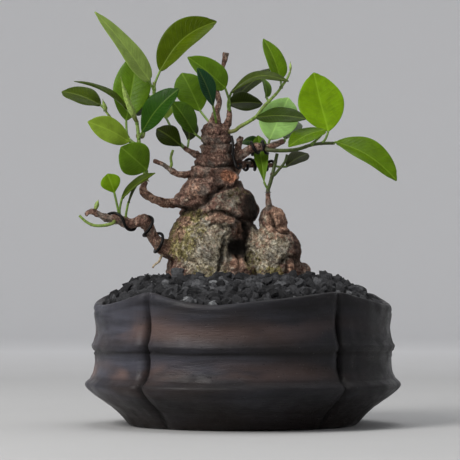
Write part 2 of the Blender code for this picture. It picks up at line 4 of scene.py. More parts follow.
import bmesh
import bpy
import numpy as np
from mathutils import Euler, Matrix, Vector, noise
from mathutils.bvhtree import BVHTree


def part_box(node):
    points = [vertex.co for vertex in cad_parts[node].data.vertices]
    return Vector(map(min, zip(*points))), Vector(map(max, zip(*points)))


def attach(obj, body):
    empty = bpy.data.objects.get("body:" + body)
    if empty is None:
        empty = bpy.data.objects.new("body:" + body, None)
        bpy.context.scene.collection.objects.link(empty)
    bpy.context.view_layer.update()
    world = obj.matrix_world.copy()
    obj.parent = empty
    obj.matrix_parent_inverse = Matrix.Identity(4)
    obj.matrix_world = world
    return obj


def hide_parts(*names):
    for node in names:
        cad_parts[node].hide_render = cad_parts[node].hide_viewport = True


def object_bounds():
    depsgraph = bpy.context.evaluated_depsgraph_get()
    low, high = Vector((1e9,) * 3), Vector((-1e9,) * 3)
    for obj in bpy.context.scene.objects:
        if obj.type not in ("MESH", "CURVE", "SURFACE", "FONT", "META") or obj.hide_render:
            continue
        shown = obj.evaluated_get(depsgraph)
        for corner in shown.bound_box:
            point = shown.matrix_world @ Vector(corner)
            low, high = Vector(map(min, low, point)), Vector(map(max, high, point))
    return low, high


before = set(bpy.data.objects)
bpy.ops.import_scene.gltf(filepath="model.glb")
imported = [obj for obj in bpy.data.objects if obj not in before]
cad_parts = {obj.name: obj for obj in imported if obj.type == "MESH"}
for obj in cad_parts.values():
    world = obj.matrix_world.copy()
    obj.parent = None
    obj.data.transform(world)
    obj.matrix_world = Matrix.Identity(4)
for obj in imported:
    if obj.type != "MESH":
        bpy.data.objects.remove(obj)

CAD_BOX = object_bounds()
MM = 0.001

# ------------------------------------------------------------------ shapes shared with the CAD

# Pot: (centre angle, width, lowest place of the rim, steepness left and right of it).
LOBES = ((-90.0, 80.0, -0.27, 1.6, 1.05), (-13.5, 73.0, 0.1, 1.7, 1.9),
         (56.5, 67.0, -0.1, 1.9, 1.7), (123.5, 67.0, 0.1, 1.8, 1.9), (193.5, 73.0, 0.1, 1.7, 1.9))
RIM_RADIUS = 71.0
RIM_HEIGHT = 57.0
RIM_RISE = 6.5
FLARE_RADIUS = 75.2
RIDGE_RADIUS = 72.3
BASE_RADIUS = 54.0
WALL = 4.4
FLOOR = 6.5

DRAIN_RADIUS = 6.0
DRAIN_OFFSET = 22.0
SCREEN_RADIUS = 11.0
SCREEN_PITCH = 1.65

MOUND_HEIGHT = 67.8
SOIL_BELOW_RIM = 2.0
ROOT_CENTRE = (-2.5, 0.5)
POCKET_TOP = (39.0, 24.5)

PETIOLE_RADIUS = 0.55
WIRE_RADIUS = 0.7

# Swellings of the wood: (centre, half axes).
LUMPS = (
    ((-17.5, 0.5, 84.0), (18.5, 19.5, 20.0)),       # main bulb
    ((-17.0, 0.5, 70.0), (19.5, 19.5, 18.0)),       # its foot in the soil
    ((15.0, -1.0, 82.0), (12.8, 14.0, 13.5)),       # second bulb
    ((15.0, -1.0, 71.0), (14.5, 14.0, 13.5)),
    ((14.3, -2.5, 96.0), (6.6, 6.6, 8.5)),          # knob on the second bulb
    ((26.5, 0.0, 72.0), (6.3, 7.0, 5.5)),           # right root flare
    ((-31.5, -2.0, 73.5), (4.6, 6.0, 9.0)),         # left root flare
    ((-2.0, -8.0, 72.5), (9.5, 8.0, 7.0)),
    ((1.0, 1.5, 82.5), (9.0, 12.5, 15.0)),          # wood between the bulbs
    ((0.0, 7.0, 76.0), (12.0, 10.0, 11.0)),
    ((-12.0, 0.0, 99.0), (17.5, 15.0, 12.0)),       # shoulder
    ((-22.0, -2.5, 109.5), (8.2, 9.5, 7.6)),
    ((-18.5, -8.0, 111.0), (9.0, 8.4, 6.4)),
    ((-27.5, -4.5, 106.6), (5.6, 7.0, 4.6)),
    ((-1.5, 0.5, 104.5), (8.0, 10.5, 8.5)),
    ((3.0, 2.0, 102.0), (4.6, 7.0, 6.0)),
    ((-7.2, -7.0, 117.2), (5.4, 4.4, 4.2)),         # pruning scar
    ((-25.0, -6.0, 108.0), (5.0, 6.0, 6.0)),        # root of the hooked branch
)
# Oval foot of the wood in the soil: centre and half axes of its lower and its upper end.
ROOT_FOOT = ((-2.5, 0.5, 60.0), (28.5, 16.0), (-2.5, 0.5, 68.0), (32.0, 17.0))

# Woody limbs: name, route, radius at each point.
LIMBS = (
    ("axis",
     ((-13.5, 0, 92), (-13.8, 0, 104), (-14.0, 0, 110.5), (-14.8, 0, 115), (-14.0, 0, 118.5),
      (-13.6, 0, 122), (-12.9, 0, 124.6), (-12.7, 0, 129), (-12.6, 0, 132.6),
      (-12.9, 0, 135.2), (-12.9, 0, 139), (-12.8, 0, 141.4), (-12.4, 0, 143.2)),
     (15.0, 16.4, 14.8, 12.4, 11.2, 10.4, 8.2, 7.8, 8.0, 6.6, 6.9, 6.0, 4.0)),
    ("lower_left",
     ((-30.0, -4, 82.5), (-37.5, -9, 84.5), (-42.0, -12, 88.5), (-44.5, -14, 93.5),
      (-47.0, -15, 96.8), (-50.5, -16, 95.6), (-53.5, -16.5, 95.2), (-58.0, -17, 97.0),
      (-63.5, -17.5, 97.6), (-67.5, -18, 99.3), (-71.0, -18.5, 100.8), (-74.0, -19, 99.2)),
     (5.6, 3.9, 2.8, 2.6, 2.7, 2.1, 1.9, 1.9, 1.8, 1.6, 1.4, 1.1)),
    ("hooked",
     ((-24.0, -5, 106.5), (-30.0, -8, 105.5), (-35.0, -11, 105.0), (-40.0, -14, 106.0),
      (-44.5, -15.5, 108.0), (-46.8, -16, 110.3), (-46.8, -16, 112.8), (-45.6, -15.5, 115.2)),
     (4.2, 2.8, 2.3, 2.1, 2.0, 1.9, 1.6, 1.2)),
    ("upper_left",
     ((-18.0, -1, 119.0), (-23.0, -2, 119.4), (-27.0, -3, 119.0), (-31.5, -4, 119.4),
      (-34.5, -4.5, 121.3), (-38.5, -5, 124.0), (-42.5, -5, 125.6)),
     (3.0, 2.1, 1.7, 1.5, 1.4, 1.1, 1.0)),
    ("inner_left",
     ((-15.0, 1, 125.5), (-19.0, 2, 127.0), (-23.5, 4, 129.6), (-26.5, 5, 131.4),
      (-28.6, 5.5, 132.8)),
     (2.8, 2.1, 1.5, 1.2, 1.0)),
    ("right_fork",
     ((-10.0, 3, 118.0), (-4.5, 2.5, 120.0), (-2.4, 1, 124.0), (-2.4, -1, 130.0),
      (-2.0, -2.5, 133.5), (-0.6, -3.5, 137.2)),
     (3.2, 2.5, 2.2, 1.8, 1.6, 1.3)),
    ("right_main",
     ((-2.6, -0.5, 127.0), (0.0, -3, 128.6), (3.5, -5, 131.0), (7.0, -6, 132.0),
      (12.0, -7, 131.6), (16.0, -8, 133.2), (19.5, -9, 134.7)),
     (2.0, 2.1, 2.0, 2.0, 1.9, 1.5, 1.3)),
    ("right_back",
     ((-3.0, 2.5, 123.0), (0.5, 6, 124.4), (4.5, 10, 124.6), (10.5, 13.5, 124.4),
      (15.0, 16.5, 124.6)),
     (2.0, 1.8, 1.6, 1.4, 1.1)),
    ("crown",
     ((-12.8, -0.5, 141.0), (-12.6, -0.5, 149.0), (-11.2, 0, 153.5), (-12.4, 2, 159.0),
      (-11.5, 3, 165.0), (-9.6, 3, 171.0), (-8.5, 3, 175.0), (-8.0, 3, 178.0)),
     (2.9, 1.7, 1.4, 1.3, 1.2, 1.1, 1.3, 1.7)),
    ("crown_stub",
     ((-15.8, -1, 140.0), (-15.0, -1.8, 142.6), (-14.1, -2, 145.6), (-12.9, -2, 148.8)),
     (2.6, 2.1, 1.6, 1.5)),
    ("crown_right",
     ((-10.5, 0, 139.5), (-7.6, 0, 142.8), (-6.4, 0, 147.0), (-6.6, 0, 150.6)),
     (2.6, 2.0, 1.4, 1.1)),
    ("knob_stem",
     ((13.8, -3, 98.5), (12.7, -4, 104.0), (12.0, -4, 108.0), (12.0, -4, 110.4)),
     (3.4, 1.7, 1.3, 1.1)),
)

# Green shoots: name, route, radius at the foot and at the tip.
SHOOTS = (
    ("shoot_left", ((-45.6, -15.5, 117.0), (-46.5, -15, 120.5), (-48.0, -13, 126.5),
                    (-49.0, -12, 133.0), (-49.6, -11, 139.0), (-50.2, -10.2, 144.0)), 1.05, 0.8),
    ("shoot_left_top", ((-47.4, -8.6, 137.0), (-46.6, -7, 143.5), (-44.5, -6, 151.0),
                        (-42.3, -5.5, 157.0), (-42.2, -5.5, 163.0)), 0.95, 0.7),
    ("shoot_left_outer", ((-50.6, -10.6, 133.2), (-53.8, -8.5, 135.5), (-58.0, -6, 140.5),
                          (-62.4, -4.6, 145.4), (-65.6, -4, 149.6)), 0.75, 0.55),
    ("shoot_low_left", ((-60.6, -20.9, 95.4), (-65.0, -21.4, 94.2), (-69.6, -21.5, 94.2),
                        (-73.2, -21.7, 95.8), (-76.6, -22, 98.8)), 0.85, 0.6),
    ("shoot_upper_left", ((-33.9, -5.0, 123.6), (-34.2, -5.3, 127.0), (-33.2, -5.2, 130.6)),
     0.75, 0.6),
    ("shoot_right_top", ((-4.4, -3.6, 139.8), (-1.5, -6, 141.6), (3.0, -8, 144.0),
                         (6.5, -9, 146.4), (9.5, -9, 150.5), (13.0, -8, 154.2),
                         (16.5, -7, 158.0), (19.0, -6, 161.5), (21.2, -5, 164.8),
                         (22.6, -4, 168.0)), 1.0, 0.5),
    ("shoot_right", ((11.6, -10.2, 130.4), (17.5, -11.8, 129.9), (23.0, -11.8, 130.1),
                     (27.5, -11.2, 131.0), (31.5, -10.6, 132.4), (36.5, -9.6, 133.4),
                     (43.0, -9, 133.6)), 1.0, 0.75),
    ("shoot_knob", ((12.1, -4, 112.0), (13.4, -4.2, 116.0), (15.0, -3.6, 122.5),
                    (16.4, -2.6, 129.0)), 1.0, 0.8),
    ("shoot_knob_side", ((14.9, -6.0, 118.6), (17.0, -7.6, 121.0), (19.8, -9, 124.5),
                         (21.0, -9.4, 128.2)), 0.75, 0.6),
)
DARK_SHOOTS = ("shoot_right", "shoot_knob", "shoot_knob_side")

# Leaves: name, tone, petiole start, blade base, blade tip, half width, turn, fold, arch,
# widest.  turn is how far the face leans from the front towards the top, fold the V along
# the midrib (both in degrees), arch the bow of the midrib, widest where the blade is
# broadest.  A last value, where there is one, is the sideways bow of the blade.
LEAVES = (
    ("top_left_narrow", "pale_lime", (-43.8, -7.0, 158.6), (-44.6, -7.4, 163.5),
     (-70.0, -14, 195.5), 6.6, 44, 12, 1.5, 0.30),
    ("top_left_broad", "moss", (-40.3, -4.9, 159.4), (-39.4, -4.0, 168.5), (-12.5, 3, 193.0),
     9.2, 22, 30, 3.0, 0.48, 3.2),
    ("left_round_back", "fresh", (-52.8, -6.8, 137.6), (-55.6, -2.5, 145.0), (-50.5, 4, 178.0),
     9.2, 8, 8, -1.0, 0.50),
    ("left_edge_on", "olive", (-51.7, -11.9, 142.2), (-54.8, -13, 149.5), (-80.0, -9, 163.0),
     6.0, 78, 18, 2.5, 0.45),
    ("left_outer_dark", "olive", (-66.6, -3.4, 150.4), (-67.8, -2.8, 152.2), (-87.0, 6, 159.5),
     6.4, 42, 14, 1.5, 0.48),
    ("left_light", "lime", (-50.8, -13.8, 132.4), (-53.6, -16.5, 133.8), (-72.5, -25, 142.5),
     6.8, 28, 10, 1.5, 0.50),
    ("hook_round", "fresh", (-46.0, -17.6, 117.4), (-45.2, -18.8, 120.4), (-57.0, -26, 130.6),
     8.4, 5, 8, 1.0, 0.50),
    ("left_front_dark", "deep", (-47.8, -13.2, 135.0), (-47.3, -15.5, 138.5),
     (-30.0, -24, 158.0), 7.4, 34, 16, 2.5, 0.50),
    ("low_narrow", "olive", (-56.0, -18.8, 99.8), (-56.6, -20.5, 107.0), (-41.0, -25, 118.5),
     4.2, 58, 24, 1.0, 0.45),
    ("low_slim", "olive", (-53.6, -18.8, 98.4), (-53.8, -19.6, 104.8), (-46.4, -21.5, 117.0),
     1.6, 66, 20, 0.8, 0.45),
    ("low_heart", "bright", (-57.6, -18.4, 101.2), (-60.2, -21.5, 109.4), (-63.2, -25, 118.2),
     4.8, 4, 6, 0.6, 0.60),
    ("upper_left_dark", "dark", (-29.8, 3.2, 133.4), (-29.6, 0.0, 133.0), (-41.2, 1, 141.2),
     5.9, 26, 12, 1.0, 0.56),
    ("centre_back", "fresh", (-15.8, 5.0, 146.4), (-20.5, 8.5, 150.5), (-29.5, 17, 169.6),
     8.2, 14, 10, 1.0, 0.50),
    ("centre_blue", "blue", (-10.2, -4.4, 146.8), (-14.2, -10.5, 151.5), (-21.5, -18, 168.5),
     5.0, 38, 20, 1.0, 0.52),
    ("centre_top", "fresh", (-8.6, -3.0, 149.0), (-8.4, -5.0, 160.2), (-26.2, -10, 174.4),
     7.4, 30, 22, 1.2, 0.38),
    ("centre_fold", "mid", (-22.0, -0.6, 131.4), (-23.4, -3.0, 139.0), (-33.5, -7.5, 153.5),
     6.2, 26, 26, 1.0, 0.50),
    ("left_back_dark", "dark", (-42.6, -2.6, 155.6), (-44.4, 1.0, 156.6), (-53.5, 15, 151.5),
     6.0, 20, 10, 1.0, 0.50),
    ("back_yellow", "lime", (-31.0, 8.0, 134.6), (-37.0, 17.0, 147.5), (-41.0, 29, 161.0),
     5.6, 30, 12, 1.0, 0.50),
    ("centre_dark", "dark", (-25.6, 8.6, 132.8), (-26.0, 11.0, 136.5), (-27.5, 24, 150.5),
     5.4, 36, 14, 1.0, 0.50),
    ("right_arch", "olive", (-5.2, -2.6, 148.4), (-5.4, -2.0, 158.4), (21.8, -9, 163.0),
     5.6, 60, 10, 5.6, 0.46),
    ("right_upright", "vivid", (16.2, -3.4, 160.8), (18.0, -1.0, 165.0), (10.0, 6, 185.0),
     5.6, 32, 18, 1.5, 0.36),
    ("right_back_long", "dark", (-5.4, 3.2, 150.4), (-5.0, 10.5, 155.8), (14.0, 24, 172.6),
     5.0, 44, 14, 0.6, 0.50),
    ("right_dark_point", "dark", (-5.2, 2.2, 149.6), (-6.4, 2.4, 153.4), (9.6, 8, 153.8),
     6.2, 36, 14, 1.0, 0.42),
    ("right_slim_back", "fresh", (11.8, -6.0, 153.8), (11.4, -2.0, 156.0), (9.0, 8, 167.0),
     3.8, 56, 20, 1.0, 0.50),
    ("right_pale_back", "pale", (12.8, -3.6, 133.4), (13.0, 2.0, 136.2), (22.2, 13, 157.2),
     9.6, 8, 10, 1.0, 0.46),
    ("right_flat", "shade", (4.2, -10.6, 145.4), (6.5, -13.2, 145.4), (29.5, -22, 144.0),
     6.4, 48, 10, 1.5, 0.48),
    ("right_grey_back", "grey", (20.6, -6.6, 134.8), (20.6, 10, 137.2), (26.0, 26, 147.0),
     5.8, 20, 12, 1.0, 0.50),
    ("right_big_round", "bright", (37.5, -7.4, 135.2), (40.6, -7.0, 139.5), (34.0, -1, 168.0),
     11.2, 8, 9, -1.5, 0.48),
    ("right_edge_bright", "vivid", (32.6, -12.8, 133.8), (38.4, -17, 139.2),
     (21.2, -27, 130.6), 7.2, 54, 10, 1.5, 0.46),
    ("far_right_drooping", "vivid", (44.4, -9.0, 133.6), (44.4, -9.6, 134.0),
     (72.0, -20, 115.2), 8.2, 34, 30, 2.5, 0.48, 1.5),
    ("right_hanging", "fresh", (11.4, -6.3, 111.4), (10.2, -5.2, 115.2), (7.4, 7.0, 138.4),
     4.7, 4, 36, 0.6, 0.62),
    ("right_back_dull", "dull", (16.6, 17.6, 124.6), (21.2, 20, 124.2), (32.2, 30, 131.2),
     4.8, 38, 14, 1.0, 0.55),
    ("right_small_arch", "deep", (4.5, 8.4, 129.8), (8.6, 11.0, 134.0), (-0.4, 17, 135.8),
     3.6, 40, 12, 1.8, 0.50),
)

# Folded sheaths that hide the growing tips: name, foot, tip, radius.
BUDS = (
    ("bud_left_sheath", (-50.3, -13.4, 143.6), (-57.6, -16.5, 164.5), 1.5),
    ("bud_left_outer", (-64.6, -6.2, 149.2), (-66.6, -7.6, 154.8), 0.9),
    ("bud_crown_left", (-11.2, 0.8, 168.0), (-13.2, -1.0, 174.0), 1.1),
    ("bud_right_tip", (22.9, -3.8, 168.8), (22.8, -3.4, 173.0), 0.6),
    ("bud_low_left", (-69.0, -18.4, 102.4), (-67.8, -18.0, 106.4), 1.05),
)

# ------------------------------------------------------------------ marks on the wood

# Creases of the bark: side, route (x, z), half width, depth.
CREASES = (
    ("front", ((-8.5, 113.8), (-12.5, 110.6), (-16, 107.6), (-19.5, 104.6), (-23, 102.6),
               (-28, 101.8), (-33, 102.2)), 1.3, 2.6),
    ("front", ((-12.5, 114.0), (-8, 112.4), (-4, 113.2), (-2, 115.5)), 1.0, 1.4),
    ("front", ((-13.5, 119.5), (-12.5, 115.5)), 0.9, 0.9),
    ("all", ((-22, 134.2), (-15, 133.5), (-10, 133.6), (-4, 134.6)), 0.7, 1.1),
    ("all", ((-24, 124.2), (-17.5, 122.9), (-11, 122.7), (-2, 124.3)), 0.8, 1.3),
    ("all", ((-26, 117.8), (-20, 117.4), (-14, 118.4)), 0.8, 0.9),
    ("all", ((-22, 129.3), (-14, 128.4), (-4, 129.2)), 0.6, 0.5),
    ("all", ((-20, 138.6), (-12, 137.9), (-5, 138.8)), 0.6, 0.6),
    ("front", ((-14.5, 100.5), (-10, 101), (-5.5, 99.5), (-2, 97.5), (2.5, 97), (8, 97)),
     1.0, 1.7),
    ("front", ((-15.6, 94.0), (-14.5, 95.1), (-12.5, 95.7), (-10.5, 95), (-9.0, 92.9)), 0.6, 1.1),
    ("front", ((-7, 94.5), (-5.5, 94), (-5, 92.3)), 0.6, 0.9),
    ("front", ((-9, 96), (-6, 98.3)), 0.8, 0.7),
    ("front", ((-3, 96), (-1.5, 93), (-2.5, 89.5), (-5, 88)), 0.9, 1.2),
    ("front", ((0, 97), (1, 93.5), (2, 91), (1.5, 88), (1, 84), (2, 80), (3.5, 77)), 1.5, 3.0),
    ("front", ((-8, 87.5), (-9, 85), (-10, 82), (-9.5, 79), (-10.5, 77), (-11.2, 73.5)), 0.9, 1.8),
    ("front", ((-10, 87.5), (-8.5, 89.5), (-6, 91)), 0.6, 0.8),
    ("front", ((13.0, 100), (14.5, 96), (16, 92.7), (18, 91.2), (21.8, 91.0)), 0.8, 1.3),
    ("front", ((18.5, 77.5), (21, 79.6), (25, 79.6), (28.5, 77.5)), 1.0, 1.3),
    ("front", ((18.2, 78), (15.5, 73.0)), 0.7, 0.8),
    ("front", ((20.6, 78), (20.2, 71)), 0.6, 0.9),
    ("front", ((24.6, 78), (25.0, 71)), 0.6, 0.9),
    ("front", ((-2.5, 80), (-1.5, 76), (-2.5, 72)), 0.7, 0.9),
    ("back", ((-31, 103), (-22, 107), (-13, 106), (-4, 109), (1, 112)), 1.3, 2.0),
    ("back", ((2, 98), (1, 91), (-1, 84), (0, 75)), 1.5, 2.6),
    ("back", ((-20, 92), (-22, 86), (-20, 79), (-23, 73)), 0.9, 1.4),
    ("back", ((-12, 96), (-9, 92), (-11, 88)), 0.6, 0.9),
    ("back", ((8, 94), (14, 92.5), (20, 91.5)), 0.8, 1.2),
    ("back", ((12, 86), (10, 80), (13, 74)), 0.8, 1.2),
)

# Rounded bumps (positive) and hollows (negative): side, x, z, half axes, height.
SWELLINGS = (
    ("front", -2.0, 84.2, 5.2, 4.4, -3.6),          # cave between the bulbs
    ("front", -23.5, 77.6, 1.9, 1.1, -1.3),
    ("front", 10.5, 85.0, 1.0, 0.9, -0.8),
    ("front", 21.5, 89.5, 0.9, 0.8, -0.7),
    ("front", 23.0, 85.0, 1.0, 0.9, -0.8),
    ("front", 22.0, 82.0, 0.9, 1.1, -0.7),
    ("front", 3.5, 102.0, 4.2, 4.2, -1.4),          # dark knot in its hollow
    ("front", 3.5, 102.0, 2.0, 2.0, 1.8),
    ("front", -12.4, 93.7, 2.5, 1.3, 0.9),
    ("front", -33.0, 80.5, 1.7, 1.3, 0.9),
    ("front", 19.6, 92.3, 1.9, 1.0, 0.8),
    ("front", -22.5, 111.0, 2.4, 2.4, 1.5),         # healed branch scars
    ("front", -22.5, 111.0, 1.0, 1.0, -1.1),
    ("front", -9.0, 128.0, 3.0, 3.0, 1.6),
    ("front", -9.0, 128.0, 1.1, 1.1, -0.9),
    ("front", -17.5, 127.0, 2.4, 2.6, 0.9),
    ("front", -13.0, 139.8, 2.4, 2.0, 1.1),
    ("front", -13.0, 139.8, 0.9, 0.8, -0.7),
    ("front", -18.0, 120.2, 3.0, 1.8, 0.8),
    ("front", -28.5, 108.5, 2.2, 2.0, 0.8),
    ("front", -16.5, 113.5, 2.4, 2.0, 0.8),
    ("front", -28.0, 93.0, 1.5, 1.5, 0.7),
    ("front", -28.0, 93.0, 0.6, 0.6, -0.5),
    ("front", -3.0, 77.5, 2.6, 4.0, 0.9),
    ("front", 2.4, 75.0, 2.4, 2.6, 0.9),
    ("front", -1.5, 92.5, 1.4, 4.0, 0.8),
    ("front", 22.6, 74.5, 1.3, 4.0, 0.8),           # roots at the right foot
    ("front", 16.8, 75.5, 1.0, 3.0, 0.7),
    ("back", -16.0, 90.0, 4.0, 5.0, 0.9),
    ("back", -26.0, 80.0, 3.0, 4.0, -0.8),
    ("back", -6.0, 103.0, 3.0, 3.0, 0.9),
    ("back", 14.0, 84.0, 3.0, 3.0, -0.8),
    ("back", -13.0, 124.0, 2.4, 2.4, 1.0),
)

# Where the bark is pale, mossy or rosy, and where painted shade darkens it ("dark": hollows,
# creases, the gap between the neck and the right fork, the right edge of the second bulb away from
# the light): tone, side, x, z, half axes, strength.
BARK_PATCHES = (
    ("pale", "front", -16.5, 84.0, 12.5, 15.0, 1.0),
    ("pale", "front", 11.5, 84.0, 10.0, 11.0, 0.9),
    ("pale", "front", -7.0, 105.0, 7.0, 6.0, 0.42),
    ("pale", "front", 12.5, 97.0, 3.0, 4.0, 0.5),
    ("moss", "front", -29.0, 88.0, 7.5, 10.0, 0.78),
    ("moss", "front", -21.0, 92.0, 4.5, 4.5, 0.55),
    ("moss", "front", -24.0, 99.0, 8.0, 3.6, 0.75),
    ("moss", "front", -15.5, 72.5, 10.0, 3.2, 0.5),
    ("moss", "front", 4.5, 77.0, 4.0, 6.0, 0.6),
    ("moss", "front", -3.0, 109.5, 5.5, 3.0, 0.5),
    ("moss", "front", 13.0, 72.5, 8.0, 2.5, 0.6),
    ("moss", "front", -11.0, 90.0, 2.5, 4.0, 0.35),
    ("rose", "front", -10.5, 97.8, 7.0, 2.4, 0.85),
    ("rose", "front", -27.0, 96.3, 3.0, 3.0, 0.8),
    ("rose", "front", -3.2, 77.6, 2.8, 3.6, 1.0),
    ("rose", "front", -2.0, 92.5, 2.0, 4.0, 0.7),
    ("rose", "front", 8.5, 88.5, 5.0, 5.0, 0.55),
    ("rose", "front", 16.5, 96.5, 5.5, 7.5, 1.0),
    ("rose", "front", 22.6, 74.0, 1.8, 5.0, 0.9),
    ("rose", "front", -38.0, 84.0, 5.0, 4.0, 0.6),
    ("rose", "front", -42.0, 107.0, 9.0, 6.0, 0.9),
    ("rose", "front", -30.5, 90.5, 3.6, 3.4, 0.7),
    ("rose", "front", -22.5, 111.0, 4.0, 4.0, 0.55),
    # painted shade: hollows, creases, the gap between the neck and the right fork, the right edge
    # of the second bulb
    ("dark", "front", 4.5, 103.0, 5.5, 8.0, 0.9),
    ("dark", "front", -2.0, 84.2, 5.6, 4.8, 1.0),
    ("dark", "front", 1.5, 91.0, 2.2, 6.0, 0.9),
    ("dark", "front", 26.5, 82.0, 3.4, 9.0, 0.55),
    ("dark", "front", 26.0, 77.5, 4.0, 2.0, 0.6),
    ("dark", "front", -27.0, 101.6, 6.5, 1.6, 0.7),
    ("dark", "front", -4.5, 128.0, 3.0, 8.0, 0.6),
    ("pale", "back", -14.0, 86.0, 13.0, 11.0, 0.8),
    ("pale", "back", 14.0, 82.0, 9.0, 8.0, 0.7),
    ("moss", "back", -26.0, 80.0, 8.0, 9.0, 0.8),
    ("moss", "back", -4.0, 78.0, 6.0, 8.0, 0.7),
    ("moss", "back", 20.0, 76.0, 7.0, 6.0, 0.6),
    ("rose", "back", -16.0, 98.0, 9.0, 4.0, 0.6),
    ("rose", "back", 15.0, 96.0, 5.0, 5.0, 0.6),
)
SCAR_CENTRE = (-7.2, -7.0, 117.2)
SCAR_FACING = (0.14, -0.97, 0.12)
SCAR_AXIS = (0.94, 0.14, -0.30)
SCAR_RADIUS = 3.6
SCAR_STRETCH = 1.45

# ------------------------------------------------------------------ curves and meshes


def smooth_route(points, steps):
    """Catmull-Rom curve through the points, with a number of steps between each two."""
    route = [Vector(point) for point in points]
    padded = [route[0] * 2 - route[1]] + route + [route[-1] * 2 - route[-2]]
    curve = []
    for index in range(1, len(padded) - 2):
        before, start, end, after = padded[index - 1:index + 3]
        for step in range(steps):
            t = step / steps
            curve.append(0.5 * (2 * start + (end - before) * t
                                + (2 * before - 5 * start + 4 * end - after) * t ** 2
                                + (3 * start - before - 3 * end + after) * t ** 3))
    curve.append(route[-1])
    return curve


def spread(values, steps):
    """The values at the points of smooth_route, in straight steps."""
    wide = []
    for start, end in zip(values, values[1:]):
        wide += [start + (end - start) * step / steps for step in range(steps)]
    return wide + [values[-1]]


def carried_frames(route):
    """A pair of cross directions at each point, carried along without twist."""
    frames = []
    side = None
    for index in range(len(route)):
        ahead = route[min(index + 1, len(route) - 1)]
        behind = route[max(index - 1, 0)]
        along = (ahead - behind).normalized()
        if side is None:
            helper = Vector((0, 0, 1)) if abs(along.z) < 0.8 else Vector((0, -1, 0))
            side = along.cross(helper).normalized()
        side = (side - along * side.dot(along)).normalized()
        frames.append((side, along.cross(side)))
    return frames


def tube_rings(route, radii, sides):
    rings = []
    for point, radius, (side, up) in zip(route, radii, carried_frames(route)):
        rings.append([point + radius * (math.cos(turn) * side + math.sin(turn) * up)
                      for turn in (2 * math.pi * k / sides for k in range(sides))])
    return rings


def rings_to_bmesh(rings):
    """Joins rings of points (mm) into a closed skin, with a flat cap on each end."""
    skin = bmesh.new()
    loops = [[skin.verts.new(point * MM) for point in ring] for ring in rings]
    for lower, upper in zip(loops, loops[1:]):
        count = len(lower)
        for index in range(count):
            after = (index + 1) % count
            skin.faces.new((lower[index], lower[after], upper[after], upper[index]))
    skin.faces.new(list(reversed(loops[0])))
    skin.faces.new(loops[-1])
    bmesh.ops.recalc_face_normals(skin, faces=skin.faces)
    return skin


def add_piece(name, mesh_data, materials, slot, *nodes):
    """Puts a finished mesh in the scene, riding with the object in place of CAD nodes."""
    item = bpy.data.objects.new(name, mesh_data)
    bpy.context.scene.collection.objects.link(item)
    for finish in materials:
        mesh_data.materials.append(finish)
    mesh_data.shade_smooth()
    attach(item, "root")
    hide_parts(*nodes)
    return item


def mesh_from(skin, name):
    mesh_data = bpy.data.meshes.new(name)
    skin.to_mesh(mesh_data)
    skin.free()
    return mesh_data


def merge_into(skin, extra):
    """Adds a closed skin's mesh to another."""
    carrier = mesh_from(extra, "carrier")
    skin.from_mesh(carrier)
    bpy.data.meshes.remove(carrier)


def paint(mesh_data, name, values):
    """Stores one number for each vertex, for the materials to read."""
    layer = mesh_data.attributes.new(name, "FLOAT", "POINT")
    layer.data.foreach_set("value", np.asarray(values, dtype=np.float32))


def points_of(mesh_data):
    """The vertices in millimetres."""
    flat = np.empty(len(mesh_data.vertices) * 3, dtype=np.float32)
    mesh_data.vertices.foreach_get("co", flat)
    return flat.reshape(-1, 3).astype(float) / MM


def normals_of(mesh_data):
    flat = np.empty(len(mesh_data.vertices) * 3, dtype=np.float32)
    mesh_data.vertex_normals.foreach_get("vector", flat)
    return flat.reshape(-1, 3).astype(float)


def set_points(mesh_data, points):
    mesh_data.vertices.foreach_set("co", (points * MM).astype(np.float32).ravel())
    mesh_data.update()


def noise_at(points, scale, offset=0.0):
    """Smooth noise from -1 to 1 at each point, with features about 1/scale mm wide."""
    return np.array([noise.noise(Vector(point) * scale + Vector((offset, offset, offset)))
                     for point in points])


def smooth_step(values, low, high):
    share = np.clip((values - low) / (high - low), 0.0, 1.0)
    return share * share * (3 - 2 * share)


# ------------------------------------------------------------------ materials


